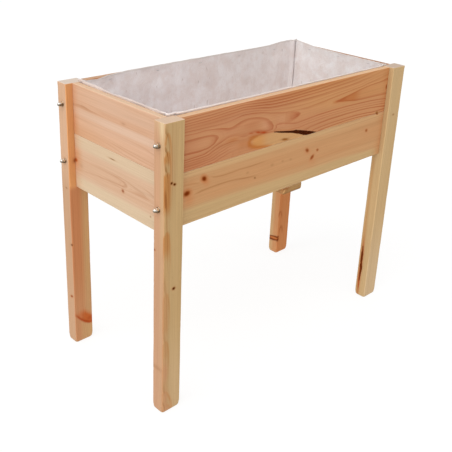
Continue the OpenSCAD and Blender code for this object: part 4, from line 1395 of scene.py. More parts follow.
# (x, z) of the upper and lower edge of the slanting knot band near the foot
CRES_X = [-2, 8, 20, 34, 48, 56, 62]
CRES_HI = [97, 96, 98, 97, 87, 79, 77]
CRES_LO = [90, 80, 66, 54, 46, 45, 50]


def bll_knot(c):
    x, y, z = c[:, 0] + 475.0, c[:, 1] - 185.0, c[:, 2]
    up, lo_ = np.interp(x, CRES_X, CRES_HI), np.interp(x, CRES_X, CRES_LO)
    return sstep(y, 4.0, 1.0) * sstep(z, up + 12, up - 14) * sstep(z, lo_ - 1.5, lo_ + 2.5) * (0.45 + 0.55 * sstep(x, 4, 40)) * (1 - 0.35 * sstep(z, up - 12, up) * sstep(x, 34, 44))


def bll_cut(c):
    x, y, z = c[:, 0] + 475.0, c[:, 1] - 185.0, c[:, 2]
    lo_ = np.interp(x, CRES_X, CRES_LO)
    return sstep(y, 4.0, 1.0) * np.maximum(np.exp(-((z - lo_ - 4.5) / 4.6) ** 2) * sstep(x, -2, 12) * (1 - 0.35 * sstep(x, 44, 54)), 0.55 * blob(x, z, 50, 64, 9, 7))


def bll_pale(c):
    x, y, z = c[:, 0] + 475.0, c[:, 1] - 185.0, c[:, 2]
    lo_ = np.interp(x, CRES_X, CRES_LO)
    return sstep(y, 4.0, 1.0) * 0.95 * sstep(z, lo_ + 1, lo_ - 6) * sstep(x, 14, 28)


mat_bll = wood(
    "pine_leg_back_left", "z", srgb(206, 164, 116), srgb(160, 100, 58), srgb(198, 152, 104), contrast=0.45, seed=11.0, alt_amount=0.6, top=srgb(226, 218, 210), top_light_shade_amount=0.9, gain=(0.955, 0.915, 0.885),
    masks=[("m_side", srgb(203, 166, 134), 1.0), ("m_amber", srgb(200, 132, 90), 0.9), ("m_top", srgb(224, 168, 122), 0.32), ("m_topx", srgb(224, 187, 157), 0.65), ("m_foot", srgb(200, 152, 118), 0.30), ("m_pale", srgb(206, 166, 118), 0.7), ("m_knot", srgb(196, 100, 44), 0.94),
           ("m_cut", srgb(170, 68, 26), 0.85), ("m_gap_light", srgb(228, 168, 112), 0.92)],
    knots=[dict(c=(-453, 185, 582), r=(7, 7), style="red", a=0.9, third=8),
           dict(c=(-475, 427 - 225, 500), r=(5.5, 3.0), style="brown", a=0.75, third=6, face="x"),
           dict(c=(-475, 412 - 225, 327), r=(3.0, 3.4), style="pin", a=0.8, third=5),
           dict(c=(-475, 424 - 225, 152), r=(6.5, 3.8), rot=-22, style="red", third=6, face="x", ragged=0.3)], wobble=0.12, fine=0.28)
mk = leg_masks(-475.0, 185.0, bll_amber, lambda x, y, z: sstep(x, 2.6, 0.6))
mk["m_knot"] = bll_knot
mk["m_cut"] = bll_cut
mk["m_pale"] = bll_pale
mk["m_top"] = lambda c: sstep(c[:, 2], 480, 560) * sstep(c[:, 0], -474.4, -472.4)
mk["m_topx"] = lambda c: sstep(c[:, 2], 480, 600) * sstep(c[:, 0], -472.4, -474.4)
mk["m_foot"] = lambda c: sstep(c[:, 2], 260, 60) * sstep(c[:, 1], 188.5, 186.5)
# painted light: warm orange lightening of the strip in the corner beside the end board, where shade falls
mk["m_gap_light"] = lambda c: sstep(c[:, 1], 187.5, 185.6) * sstep(c[:, 0], -450, -456) * sstep(c[:, 2], 495, 512)
leg("leg_back_left_v", "leg_back_left", -475.0, 185.0, bll_ring, mat_bll, 33, line=lambda c: np.full(len(c), 0.32), masks=mk,
    dense=(lambda s: 4.0, lambda s: 1.8 if 30 < s < 115 else 5.0, lambda s: 2.4),
    carve=lambda c: 0.35 * bll_cut(c) * (c[:, 1] < 185.4))


# back right: deep orange brown
def brl_ring(c):
    x, y, z = c[:, 0] - 415.0, c[:, 1] - 185.0, c[:, 2]
    return x / 7.5 + y / 8.0 + 1.5 * (n1(z, 65, 210.0) - 0.5) + 0.6 * (n1(z, 66, 60.0) - 0.5)


def brl_ring_mark(cz, rz, y0, tilt, thick, x_side):
    """Dark outline of a slanting knot that runs round the corner."""
    def f(c):
        x, y, z = c[:, 0] - 415.0, c[:, 1] - 185.0, c[:, 2]
        u = np.where(x < 1.5, y, -x)
        zc = cz - tilt * (u - y0)
        half = rz * np.sqrt(np.clip(1 - ((u - y0) / 30.0) ** 2, 0, 1))
        wt_ = 1 + 0.35 * np.where(z < zc, sstep(u, 5, 25), sstep(u, 14, -4)) - 0.2 * np.where(z < zc, sstep(u, 14, -4), sstep(u, 5, 25))
        d = np.minimum(np.abs(z - zc - half), np.abs(z - zc + half)) / wt_
        inside = sstep(np.abs(z - zc) - half, 1.5, -1.5)
        return sstep(u, -11, -7) * (np.exp(-(d / thick) ** 2) if x_side else inside)
    return f


mat_brl = wood(
    "pine_leg_back_right", "z", srgb(212, 145, 93), srgb(154, 86, 44), srgb(201, 128, 76), contrast=0.42, seed=12.0, top=srgb(224, 202, 178), top_light_shade_amount=0.8,
    masks=[("m_side", srgb(211, 152, 105), 1.0), ("m_side2", srgb(210, 174, 129), 1.0), ("m_amber", srgb(198, 116, 64), 0.7), ("m_arc", srgb(165, 90, 45), 0.75), ("m_knot", srgb(202, 112, 52), 0.8), ("m_cut", srgb(112, 38, 2), 0.97), ("m_spot", srgb(116, 48, 4), 0.95)],
    wobble=0.14, fine=0.3)
mk = leg_masks(415.0, 185.0, lambda x, y, z: 0.5 * sstep(x, 30, 5) * sstep(y, 3, 1), lambda x, y, z: sstep(x, 4.0, 0.6))
mk["m_side2"] = lambda c: sstep(c[:, 0], 418.0, 415.6) * sstep(c[:, 1] - 185.0, 14, 32) * 0.9
mk["m_spot"] = lambda c: 1.15 * blob(c[:, 0] - 415.0, c[:, 2], 1.0, 50.0, 7.5, 7.0) * sstep(c[:, 1], 187.5, 185.8)
def brl_arcs(c):
    x, y, z = c[:, 0] - 415.0, c[:, 1] - 185.0, c[:, 2]
    a = np.zeros(len(c))
    for ax, az_, wd in ((8.0, 168.0, 2.6), (18.0, 104.0, 3.2)):
        d, at = line_dist(x, z, [(ax - 9, az_ - 30), (ax - 6.5, az_ - 12), (ax - 3.5, az_ - 3), (ax, az_), (ax + 4, az_ - 4), (ax + 7.5, az_ - 16), (ax + 10, az_ - 40)])
        a = np.maximum(a, np.exp(-(d / wd) ** 2) * sstep(np.abs(at - 0.45), 0.55, 0.15))
    return a * sstep(y, 3.0, 1.0)


mk["m_arc"] = brl_arcs
mk["m_cut"] = brl_ring_mark(54.0, 7.0, 16.0, 0.16, 3.2, True)
mk["m_knot"] = brl_ring_mark(54.0, 7.0, 16.0, 0.16, 3.2, False)
leg("leg_back_right_v", "leg_back_right", 415.0, 185.0, brl_ring, mat_brl, 34, line=lambda c: np.full(len(c), 0.7), masks=mk,
    dense=(lambda s: 2.6, lambda s: 1.8 if 30 < s < 80 else 6.0, lambda s: 2.4 if s < 430 else 4.2))


# --------------------------------------------------------------------------
# bearer across the middle, and the timber inside that keeps its CAD mesh
# --------------------------------------------------------------------------

lo, hi = np.array([-40.0, -210.0, 501.25]), np.array([40.0, 210.0, 520.0])
gx = band(lo[0], hi[0], (1.2, 7.0), lambda s: 5.0)
gy = band(lo[1], hi[1], (1.2, 6.0), lambda s: 6.0)
gz = band(lo[2], hi[2], (1.2, 7.0), lambda s: 2.5)
co, faces = lattice(gx, gy, gz)
low = co[:, 2] < 512.0
rx = np.where(low, 6.6, 1.2)
qx = np.clip(co[:, 0], lo[0] + rx, hi[0] - rx)
qz = np.where(low, np.maximum(co[:, 2], lo[2] + rx), np.minimum(co[:, 2], hi[2] - rx))
d2 = np.stack([co[:, 0] - qx, co[:, 2] - qz], -1)
ln = np.maximum(np.linalg.norm(d2, axis=1), 1e-9)
onshell = (np.abs(co[:, 0] - lo[0]) < 1e-6) | (np.abs(co[:, 0] - hi[0]) < 1e-6) | (np.abs(co[:, 2] - lo[2]) < 1e-6) | (np.abs(co[:, 2] - hi[2]) < 1e-6)
sc_ = np.where(onshell, rx / ln, np.minimum(1.0, rx / ln))
co2 = co.copy()
co2[:, 0] = qx + d2[:, 0] * sc_
co2[:, 2] = qz + d2[:, 1] * sc_
near = np.clip(1.2 - np.minimum(co[:, 1] - lo[1], hi[1] - co[:, 1]), 0, 1.2)
ins = 1.2 - np.sqrt(np.maximum(0.0, 1.44 - near ** 2))
cx, cz = 0.0, 512.1
co2[:, 0] -= np.sign(co2[:, 0]) * ins * onshell * (np.abs(co2[:, 0]) > 20)
co2[:, 2] -= np.sign(co2[:, 2] - cz) * ins * onshell
mat_bearer = wood("pine_bearer", "y", srgb(206, 166, 120), srgb(168, 116, 70), srgb(198, 154, 104), contrast=0.6, seed=13.0, fine=0.3,
                  masks=[("m_end", srgb(182, 144, 97), 1.0), ("m_left", srgb(166, 112, 66), 0.9), ("m_corner_highlight", srgb(238, 188, 130), 1.0), ("m_low_shade", srgb(158, 118, 76), 0.8), ("m_flank", srgb(190, 140, 92), 0.8)])


def bearer_end(c):
    return sstep(np.abs(c[:, 1]), 207.5, 209.6)


# on the bearer's end: the cream corner mask is a painted highlight on the rounded lower left corner, the low mask is
# painted shade on the lower edge, and the left mask browns the left part and, deepening toward the top, adds painted
# shade under the front board
plank("center_bearer_v", co2, faces, lo, hi, lambda c: log_rings(c[:, 1], c[:, 0], c[:, 2] - 501, 41, (14.0, -32.0), (0.05, 0.02), 5.0),
      mat_bearer, ("center_bearer",), 41, line=lambda c: np.full(len(c), 0.8),
      masks={"m_end": bearer_end, "m_left": lambda c: bearer_end(c) * sstep(c[:, 0], -2, -22) * (0.45 + 0.55 * sstep(c[:, 2], 509, 515)),
             "m_corner_highlight": lambda c: bearer_end(c) * np.exp(-((c[:, 0] + 34 - 0.5 * (c[:, 2] - 508)) / 3.6) ** 2) * sstep(c[:, 2], 516, 512),
             "m_flank": lambda c: sstep(c[:, 0], -38.2, -39.6) * sstep(c[:, 1], -180, -205),
             "m_low_shade": lambda c: bearer_end(c) * sstep(c[:, 2], 507, 503)}, wave=0.1, chips=0.3)


def cad_material(node, mat):
    ob = CAD[node]
    for s in ob.material_slots:
        s.material = mat
    if not ob.material_slots:
        ob.data.materials.append(mat)


for i_, node_ in enumerate(("floor_slat_front", "floor_slat_mid_front", "floor_slat_mid_back", "floor_slat_back")):
    y_ = (-0.1395, -0.0465, 0.0465, 0.1395)[i_]
    cad_material(node_, wood(f"pine_{node_}", "x", srgb(214, 176, 128), srgb(176, 124, 76), srgb(208, 164, 112), contrast=0.75, seed=14.0 + i_,
                             own_rings=((0.0, y_ + (0.02, -0.03, 0.01, 0.035)[i_], 0.498 - 0.01 * i_), 0.0065),
                             knots=[dict(c=((-210, 140, -60, 290)[i_], y_ / MM + (12, -14, 18, 4)[i_], 536), r=(8, 6), style=("red", "brown", "dark", "brown")[i_], face="z", third=60)],
                             face="z", rough=0.7))
for i_, node_ in enumerate(("left_floor_cleat", "right_floor_cleat")):
    x_ = (-0.4215, 0.4215)[i_]
    cad_material(node_, wood(f"pine_{node_}", "y", srgb(210, 168, 118), srgb(170, 116, 70), srgb(202, 156, 104), contrast=0.7, seed=19.0 + i_,
                             own_rings=((x_ * 1.06, 0.0, 0.486), 0.005), rough=0.7))


# --------------------------------------------------------------------------
# felt liner: one cut sheet, pressed into the box and stapled near the rim
# --------------------------------------------------------------------------

LX, LY, LZ = 433.6, 189.6, 536.35
RIM = {
    "-x": ([41, 60, 115, 230, 250, 330, 409], [7, 6.5, 6, 6, 2.5, 9, 9]),
    "-y": ([41, 60, 90, 250, 270, 450, 520, 909], [7, 7, 5.5, 5, 4, 4, 2.5, 2.5]),
    "+x": ([41, 120, 250, 330, 380, 409], [1.5, 1.5, 2.2, 4.5, 10.5, 15]),
    "+y": ([41, 56, 66, 100, 128, 165, 230, 780, 840, 909], [9, 3, -1, -3, 1, 5, 7, 7, 14, 15]),
}


def liner_mesh():
    gx = spaced(-LX, LX, lambda s: 5.0)
    gy = spaced(-LY, LY, lambda s: 4.6)
    gz = np.concatenate([[LZ], LZ + np.array([4.0, 8.0, 14.0, 20.0]), spaced(LZ + 26.0, 800.0, lambda s: 5.0 if s < 770 else 3.2)])
    c, f = lattice(gx, gy, gz, skip=("+z",))
    base = c.copy()
    wall = np.where(np.abs(np.abs(base[:, 0]) - LX) < 1e-6, 1, 0) + np.where(np.abs(np.abs(base[:, 1]) - LY) < 1e-6, 2, 0)
    t = base[:, 2] - LZ

    # rounded foot, tighter vertical corners higher up
    r = 13.0 + (4.0 - 13.0) * sstep(t, 14.0, 90.0)
    lo_, hi_ = np.array([-LX, -LY, LZ]), np.array([LX, LY, 1e4])
    q = np.clip(c, lo_ + r[:, None], hi_ - r[:, None])
    d = c - q
    n = d / np.maximum(np.linalg.norm(d, axis=1), 1e-9)[:, None]
    c = q + n * r[:, None]
    inward = -n
    # the legs stand in the corners: the sheet steps in around them
    step_in = 5.2 * sstep(np.abs(base[:, 0]), 407.0, 414.5) * (np.abs(c[:, 1]) > 120)
    step_in *= sstep(np.abs(c[:, 1]), LY - 30, LY - 2)
    c[:, 1] -= np.sign(c[:, 1]) * step_in

    # how far the felt stands off the boards
    on_x = (wall & 1) > 0
    on_y = (wall & 2) > 0
    X, Y, Z = base[:, 0] + 475.0, base[:, 1] + 225.0, base[:, 2]
    s = np.where(on_x, np.sign(base[:, 0]) * 2000 + base[:, 1], np.sign(base[:, 1]) * 5000 + base[:, 0])
    P2 = np.stack([s / 46.0, Z / 150.0, np.zeros_like(s)], -1)
    P3 = np.stack([s / 17.0, Z / 60.0, np.zeros_like(s)], -1)
    P4 = np.stack([s / 24.0, Z / 20.0, np.zeros_like(s)], -1)
    P5 = np.stack([s / 150.0, Z / 230.0, np.zeros_like(s)], -1)
    big = sstep(fbm(P5, 301, 2), 0.42, 0.80) * 4.0
    folds = sstep(fbm(P2, 302, 2), 0.50, 0.88) * 2.0
    small = (vnoise(P3, 303)) * 0.7
    dimple = (fbm(P4, 304, 2)) * 1.5
    off = 0.25 + big + folds + small + dimple
    # pressed flat at the staples, with short puckers running down from them
    stap = np.full(len(c), 1e9)
    for sx_, sy_, ps in (("y", 1, [-330, -165, 0, 165, 330]), ("y", -1, [-330, -165, 0, 165, 330]), ("x", 1, [-120, 0, 120]), ("x", -1, [-120, 0, 120])):
        for p in ps:
            if sx_ == "y":
                m = on_y & (np.sign(base[:, 1]) == sy_)
                dd = np.hypot((base[:, 0] - p) / 1.0, (Z - 791.0) / 1.3)
            else:
                m = on_x & (np.sign(base[:, 0]) == sy_)
                dd = np.hypot((base[:, 1] - p) / 1.0, (Z - 791.0) / 1.3)
            stap = np.where(m, np.minimum(stap, dd), stap)
    pin = sstep(stap, 6.0, 44.0)
    off = 0.12 + (off - 0.12) * pin * (0.35 + 0.65 * sstep(Z, 798.0, 740.0))
    # a crease stands beside each upright corner and leaves a slit behind it
    side = LX - np.abs(base[:, 0])
    sidey = LY - np.abs(base[:, 1])
    ridge_y = on_y * np.exp(-((side - 17.0) / 7.0) ** 2) * (base[:, 0] > 0) * 0.62 + on_y * np.exp(-((side - 26.0) / 9.0) ** 2) * (base[:, 0] < 0) * 0.5
    ridge_x = on_x * np.exp(-((sidey - 14.0) / 6.0) ** 2)
    keep = sstep(np.minimum(np.where(on_x, sidey, 1e3), np.where(on_y, side, 1e3)), 1.0, 12.0)
    off = off * (0.15 + 0.85 * keep) + (3.8 * ridge_y + 4.2 * ridge_x) * sstep(t, 20.0, 60.0) * (0.75 + 0.5 * n1(Z, 310, 60.0))
    # floor: shallow wrinkles, and a slight dip over the gaps between the slats
    floor_pt = (~on_x) & (~on_y)
    pf = np.stack([base[:, 0] / 70.0, base[:, 1] / 60.0, np.zeros_like(s)], -1)
    pf2 = np.stack([base[:, 0] / 28.0, base[:, 1] / 24.0, np.zeros_like(s)], -1)
    lift = sstep(fbm(pf, 305, 2), 0.5, 0.85) * 5.0 + vnoise(pf2, 306) * 1.0
    rim_d = np.minimum(LX - np.abs(base[:, 0]), LY - np.abs(base[:, 1]))
    dip = sum(np.exp(-((base[:, 1] - g_) / 4.0) ** 2) for g_ in (-93.0, 0.0, 93.0))
    off = np.where(floor_pt, (lift + 0.2) * sstep(rim_d, 6.0, 45.0) + 0.2 - 0.2 * dip, off * sstep(t, -2.0, 26.0))
    c = c + inward * off[:, None]

    # the cut edge: stands above the boards by a different amount along each wall
    H = np.zeros(len(c))
    for key, (ks, vs) in RIM.items():
        m = on_x & (np.sign(base[:, 0]) == (1 if key[0] == "+" else -1)) if key[1] == "x" else on_y & ~on_x & (np.sign(base[:, 1]) == (1 if key[0] == "+" else -1))
        H = np.where(m, np.interp(Y if key[1] == "x" else X, ks, vs), H)
    H = H + ((n1(s, 320, 34.0) - 0.5) * 1.6 + (n1(s, 321, 9.0) - 0.5) * 0.9) * (t > 0)
    f_top = np.clip(t / (800.0 - LZ), 0, 1)
    c[:, 2] += np.where(t > 0, H * sstep(f_top, 0.62, 1.0), 0)
    above = sstep(c[:, 2], 796.0, 812.0)
    lean = (n1(s, 322, 55.0) - 0.45) * 5.0 * above
    # the rim leans on the boards' inner arrises and on the front left leg's top
    flop = 4.0 * sstep(X, 130.0, 62.0) * sstep(Y, 110.0, 52.0) * sstep(c[:, 2], 799.4, 802.2)
    near = (on_y & (base[:, 1] < 0)) | (on_x & (base[:, 0] < 0))
    flop = np.maximum(flop, near * 2.5 * sstep(c[:, 2], 798.5, 801.5))
    c -= inward * (lean + flop)[:, None] * (wall[:, None] > 0)
    return c, f, base


co, faces, liner_base = liner_mesh()
nn = quad_normals(co, faces)
cen = np.array([0.0, 0.0, 700.0])
if np.mean(np.sum(nn * (co - cen), axis=1)) < 0:
    nn = -nn
thick = 1.75 + 0.35 * fbm(co / 9.0, 330, 2)
inner = co - nn * thick[:, None]
# boundary loop along the cut edge
edge_count = {}
for f in faces:
    for a, b in zip(f, f[1:] + f[:1]):
        key = (min(a, b), max(a, b))
        edge_count[key] = edge_count.get(key, 0) + 1
bound = [k_ for k_, v_ in edge_count.items() if v_ == 1]
N0 = len(co)
mid_id = {}
mids = []
for a, b in bound:
    for v_ in (a, b):
        if v_ not in mid_id:
            mid_id[v_] = 2 * N0 + len(mids)
            mids.append((co[v_] + inner[v_]) / 2 + np.array([0, 0, 0.55]))
allco = np.concatenate([co, inner, np.array(mids)])
allf = list(faces) + [tuple(N0 + i for i in f[::-1]) for f in faces]
for a, b in bound:
    allf.append((a, b, mid_id[b], mid_id[a]))
    allf.append((mid_id[a], mid_id[b], N0 + b, N0 + a))
# rim bands that carry painted light and shade on the felt's cut rim
rim_attr = np.concatenate([sstep(liner_base[:, 2], 793.0, 800.0)] * 2 + [np.ones(len(mids))])
far_side = sstep(allco[:, 0] / LX + allco[:, 1] / LY, -0.10, 0.10)
left_rim = sstep(-allco[:, 0] / LX, 0.97, 0.99) * sstep(allco[:, 1], -180.0, -150.0)


def felt(name):
    n = Net(name)
    P = n.obj
    V = n.vmath("MULTIPLY", P, (1.0, 1.0, 0.35))
    streak_ = n.noise(V, 46.0, 3.0, 0.6)
    blotch = n.noise(P, 24.0, 3.0, 0.6, 0.3)
    fleck = n.noise(P, 170.0, 2.0, 0.65)
    fibre_ = n.noise(P, 1500.0, 3.0, 0.7)
    hair = n.noise(n.vmath("MULTIPLY", P, (1.0, 1.0, 0.22)), 900.0, 2.0, 0.6, 1.2)
    base = n.mix(n.remap(blotch, 0.32, 0.68), srgb(229, 219, 215), srgb(239, 235, 234))
    base = n.mix(n.remap(streak_, 0.45, 0.75, 0.0, 0.22), base, srgb(206, 192, 187))
    base = n.mix(n.remap(n.noise(P, 60.0, 2.0, 0.5), 0.50, 0.74, 0.0, 0.14), base, srgb(212, 186, 170))
    base = n.mix(n.remap(fleck, 0.56, 0.76, 0.0, 0.16), base, srgb(200, 180, 172))
    # painted shade: sparse dark dots stand for the shade in small dimples of the felt
    pit_shade = n.noise(n.vmath("MULTIPLY", P, (1.0, 1.0, 0.4)), 105.0, 1.0, 0.4)
    base = n.mix(n.remap(pit_shade, 0.70, 0.80, 0.0, 0.45), base, srgb(176, 158, 148))
    base = n.mix(n.remap(fibre_, 0.30, 0.62, 0.28, 0.0), base, srgb(200, 186, 180))
    base = n.mix(n.remap(hair, 0.60, 0.74, 0.0, 0.5), base, srgb(246, 242, 240))
    # painted light: the felt is lightened toward -X and darkened toward +X, lifting the shade deep on the back wall
    base = n.mix(1.0, base, n.mix(n.remap(n.sep(P)[0], -0.15, 0.20), (1.055, 1.04, 1.055), (0.970, 0.955, 0.958)), "MULTIPLY")
    base = n.mix(n.remap(n.sep(P)[0], 0.418, 0.430), base, n.mix(1.0, base, (0.961, 0.990, 1.0), "MULTIPLY"))
    # painted light and shade on the rim: the far walls' rim is darkened, the near walls' rim lightened, and the left
    # end's rim toned back down
    base = n.mix(n.math("MULTIPLY", n.attr("rim_far_painted_shade"), 0.80), base, srgb(206, 196, 190))
    base = n.mix(n.math("MULTIPLY", n.attr("rim_near_painted_light"), 0.65), base, srgb(241, 233, 230))
    base = n.mix(n.math("MULTIPLY", n.attr("rim_left_painted_shade"), 0.90), base, srgb(213, 199, 192))
    h = n.math("MULTIPLY", fibre_, 0.5)
    h = n.math("MULTIPLY_ADD", hair, 0.5, h)
    h = n.math("MULTIPLY_ADD", fleck, 1.2, h)
    h = n.math("MULTIPLY_ADD", n.noise(P, 60.0, 2.0, 0.5), 2.2, h)
    n.set(Base_Color=base, Roughness=n.remap(fibre_, 0.3, 0.7, 0.88, 1.0), Normal=n.bump(h, 0.62, 0.0010))
    n.bsdf.inputs["Specular IOR Level"].default_value = 0.12
    n.bsdf.inputs["Sheen Weight"].default_value = 0.18
    n.bsdf.inputs["Sheen Roughness"].default_value = 0.6
    return n.m


mat_felt = felt("liner_felt_mat")
liner = add_mesh("liner_felt_sheet", (allco + (0, 0, DZ)) * MM, allf, mat_felt, ("fabric_liner",), {"rim_far_painted_shade": rim_attr * far_side, "rim_near_painted_light": rim_attr * (1 - far_side) * (1 - 0.35 * left_rim), "rim_left_painted_shade": rim_attr * (1 - far_side) * left_rim}, sharp=None)


# --------------------------------------------------------------------------
# hardware
# --------------------------------------------------------------------------

def steel(name, colour, rough, scratch=0.12, aged=0.0, under=None, over=None):
    n = Net(name)
    P = n.obj
    a = n.noise(P, 900.0, 3.0, 0.6)
    b = n.noise(n.vmath("MULTIPLY", P, (1, 1, 0.1)), 4000.0, 2.0, 0.6)
    base = n.mix(n.remap(a, 0.35, 0.7, 0.0, 0.5), colour, tuple(c * 0.72 for c in colour))
    if aged:
        base = n.mix(n.remap(n.noise(P, 260.0, 3.0, 0.6), 0.56, 0.72, 0.0, aged), base, srgb(140, 118, 92))
    if under:
        # painted shade and reflection: faces turned down are darkened to brown, the hex's lower sides browner still,
        # and faces turned up are lightened as a painted highlight
        nz = n.sep(n.node("ShaderNodeNewGeometry").outputs["Normal"])[2]
        ax_ = n.math("ABSOLUTE", n.sep(P)[0])
        base = n.mix(n.math("MULTIPLY", n.remap(ax_, 0.4820, 0.4832, 0.6, 0.0), n.remap(nz, -0.15, 0.40, 1.0, 0.0)), base, tuple(c * 1.5 for c in under))
        base = n.mix(n.remap(nz, 0.15, 0.65, 0.0, 0.9), base, over)
        base = n.mix(n.remap(nz, -0.45, 0.50, 1.0, 0.0), base, under)
    n.set(Base_Color=base, Roughness=n.remap(n.math("ADD", n.math("MULTIPLY", a, 0.6), n.math("MULTIPLY", b, 0.4)), 0.3, 0.7, rough, rough + scratch),
          Normal=n.bump(n.math("ADD", a, n.math("MULTIPLY", b, 0.4)), 0.12, 0.0002))
    n.bsdf.inputs["Metallic"].default_value = 1.0
    return n.m


def lathe(profile, phis, centre, sign, shape=None):
    """Rings of points about the X axis. profile is [(x, r)]."""
    co_, f_ = [], []
    m = len(phis)
    for k_, (x, r) in enumerate(profile):
        for ph in phis:
            rr = shape(ph, r, k_) if shape else r
            co_.append((centre[0] + sign * x, centre[1] + rr * math.cos(ph), centre[2] + rr * math.sin(ph)))
    for k_ in range(len(profile) - 1):
        for i in range(m):
            j = (i + 1) % m
            f_.append((k_ * m + i, k_ * m + j, (k_ + 1) * m + j, (k_ + 1) * m + i))
    return co_, f_


def cap_nut(centre, sign, turn, fillet=0.5):
    """M8 domed cap nut on a washer, its chamfers and dome drawn a shade under nominal."""
    m = 72
    phis = [2 * math.pi * i / m for i in range(m)]

    def hexr(ph):
        a = (ph - turn) % (math.pi / 3) - math.pi / 6
        return 6.15 / math.cos(a)

    prof = [(0.0, 4.2), (0.0, 5.9), (0.25, 6.4), (0.6, 6.9), (1.1, 7.4), (2.8, 7.4), (4.7, 7.4), (5.3, 6.9), (5.75, 6.3), (5.9, 5.75), (6.1, 5.5), (6.4, 5.4), (7.8, 5.35)]
    for k_ in range(1, 11):
        t = math.pi / 2 * k_ / 10
        prof.append((7.8 + 5.8 * math.sin(t), max(0.12, 5.35 * math.cos(t) ** 0.92)))
    co_, f_ = lathe(prof, phis, centre, sign, lambda ph, r, k_: min(hexr(ph), r))
    n0 = len(prof) * m
    co_.append((centre[0] + sign * 13.62, centre[1], centre[2]))
    top = (len(prof) - 1) * m
    for i in range(m):
        f_.append((top + i, top + (i + 1) % m, n0))
    # shallow bore so the seat is not a plain disc
    co_.append((centre[0] + sign * 1.2, centre[1], centre[2]))
    for i in range(m):
        f_.append(((i + 1) % m, i, n0 + 1))
    return co_, f_


def washer(centre, sign):
    """16 mm washer 1.6 mm thick with a pressed, slightly rounded rim and an 8.4 mm hole."""
    m = 64
    phis = [2 * math.pi * i / m for i in range(m)]
    prof = [(0.0, 4.2), (0.0, 7.25), (0.25, 7.5), (1.2, 7.5), (1.5, 7.3), (1.58, 6.95), (1.58, 4.45), (1.35, 4.2), (0.0, 4.2)]
    co_, f_ = lathe(prof[:-1], phis, centre, sign)
    n = len(prof) - 1
    for i in range(m):
        j = (i + 1) % m
        f_.append(((n - 1) * m + i, (n - 1) * m + j, j, i))
    return co_, f_


nut_co, nut_f, wash_co, wash_f = [], [], [], []
turns = iter([0.30, 0.95, 0.62, 0.10, 0.77, 0.41, 0.20, 0.88])
for sx_ in (-1, 1):
    for sy_ in (-1, 1):
        for z_ in (743.0, 582.0):
            c_, f_ = washer((sx_ * 475.02, sy_ * 203.0, z_ + DZ), sx_)
            o = len(wash_co)
            wash_co += c_
            wash_f += [tuple(i + o for i in f) for f in f_]
            c_, f_ = cap_nut((sx_ * 476.6, sy_ * 203.0, z_ + DZ), sx_, next(turns))
            o = len(nut_co)
            nut_co += c_
            nut_f += [tuple(i + o for i in f) for f in f_]
mat_nut = steel("plated_cap_nuts", (0.56, 0.52, 0.46), 0.14, 0.08, under=(0.16, 0.12, 0.07), over=(0.95, 0.88, 0.79))
mat_wash = steel("plated_washers", (0.44, 0.36, 0.27), 0.26, 0.12, under=(0.15, 0.10, 0.055), over=(0.90, 0.76, 0.60))
add_mesh("cap_nuts_v", np.array(nut_co) * MM, nut_f, mat_nut, ("cap_nuts",), sharp=26)
add_mesh("washers_v", np.array(wash_co) * MM, wash_f, mat_wash, ("washers",), sharp=40)
mat_zinc = steel("zinc_steel_mat", (0.50, 0.50, 0.48), 0.34, 0.14, 0.5)
for node_ in ("hanger_bolts", "bearer_screws", "cleat_screws", "slat_screws"):
    cad_material(node_, mat_zinc)
cad_material("liner_staples", steel("staple_wire", (0.58, 0.58, 0.58), 0.25, 0.12, 0.2))
cad_material("end_board_dowels", wood("beech_dowel", "y", srgb(204, 162, 116), srgb(176, 128, 84), srgb(196, 150, 104), contrast=0.4, seed=25.0,
                                      own_rings=((0.0, 0.0, 0.6), 0.004)))

# --------------------------------------------------------------------------
# floor, light, camera
# --------------------------------------------------------------------------

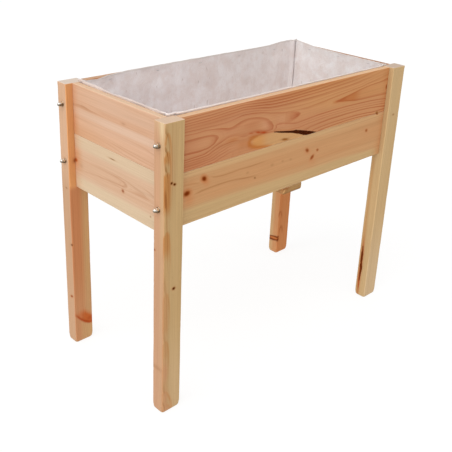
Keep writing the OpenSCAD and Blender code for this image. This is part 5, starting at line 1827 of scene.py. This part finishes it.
bm = bmesh.new()
bmesh.ops.create_grid(bm, x_segments=8, y_segments=8, size=30.0)
me = bpy.data.meshes.new("studio_floor")
bm.to_mesh(me)
bm.free()
floor = bpy.data.objects.new("studio_floor", me)
bpy.context.scene.collection.objects.link(floor)
n = Net("floor_white")
n.set(Base_Color=(0.14, 0.14, 0.14), Roughness=0.9)
n.bsdf.inputs["Specular IOR Level"].default_value = 0.0
n.bsdf.inputs["Emission Color"].default_value = (1.0, 1.0, 1.0, 1.0)
n.bsdf.inputs["Emission Strength"].default_value = 0.88
me.materials.append(n.m)
floor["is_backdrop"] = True

scene = bpy.context.scene
world = bpy.data.worlds.new("studio")
scene.world = world
world.use_nodes = True
wt = world.node_tree
wt.nodes.clear()
wo = wt.nodes.new("ShaderNodeOutputWorld")
wb = wt.nodes.new("ShaderNodeBackground")
wb.inputs[0].default_value = (1.0, 0.995, 0.985, 1.0)
wb.inputs[1].default_value = 0.58
wt.links.new(wb.outputs[0], wo.inputs[0])


def sun(name, direction, strength, angle, colour=(1, 1, 1)):
    l = bpy.data.lights.new(name, "SUN")
    l.energy = strength
    l.angle = angle
    l.color = colour
    o = bpy.data.objects.new(name, l)
    o.rotation_euler = Vector(direction).to_track_quat("-Z", "Y").to_euler()
    scene.collection.objects.link(o)
    return o


sun("key", (0.75, 0.15, -0.85), 1.7, 1.0, (1.0, 0.99, 0.975))
sun("fill", (0.15, 0.85, -0.75), 0.42, 1.2)

cam = bpy.data.cameras.new("camera")
cam.sensor_fit = "HORIZONTAL"
cam.sensor_width = 36.0
cam.lens = 718.66 / 452.0 * 36.0
cam.shift_x = (226.0 - 216.5) / 452.0
cam.shift_y = (170.0 - 226.0) / 452.0
cam.clip_start = 0.05
cam.clip_end = 200.0
camera = bpy.data.objects.new("camera", cam)
az, el, roll = math.radians(43.874), math.radians(21.953), math.radians(2.243)
fwd = Vector((math.sin(az) * math.cos(el), math.cos(az) * math.cos(el), -math.sin(el)))
right = Vector((math.cos(az), -math.sin(az), 0.0))
up = right.cross(fwd)
r2 = right * math.cos(roll) + up * math.sin(roll)
u2 = -right * math.sin(roll) + up * math.cos(roll)
loc = Vector((-1.44128, -1.40074, 1.31449))
camera.matrix_world = Matrix(((r2.x, u2.x, -fwd.x, loc.x), (r2.y, u2.y, -fwd.y, loc.y), (r2.z, u2.z, -fwd.z, loc.z), (0, 0, 0, 1)))
scene.collection.objects.link(camera)
scene.camera = camera
scene.view_settings.view_transform = "Standard"
scene.view_settings.look = "None"

NOW_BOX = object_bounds()


def plain(v):
    if isinstance(v, dict):
        return {str(k_): plain(x) for k_, x in v.items()}
    if hasattr(v, "__len__") and not isinstance(v, str):
        return [plain(x) for x in v]
    return float(v)


{"cad": plain(CAD_BOX), "visual": plain(NOW_BOX)}
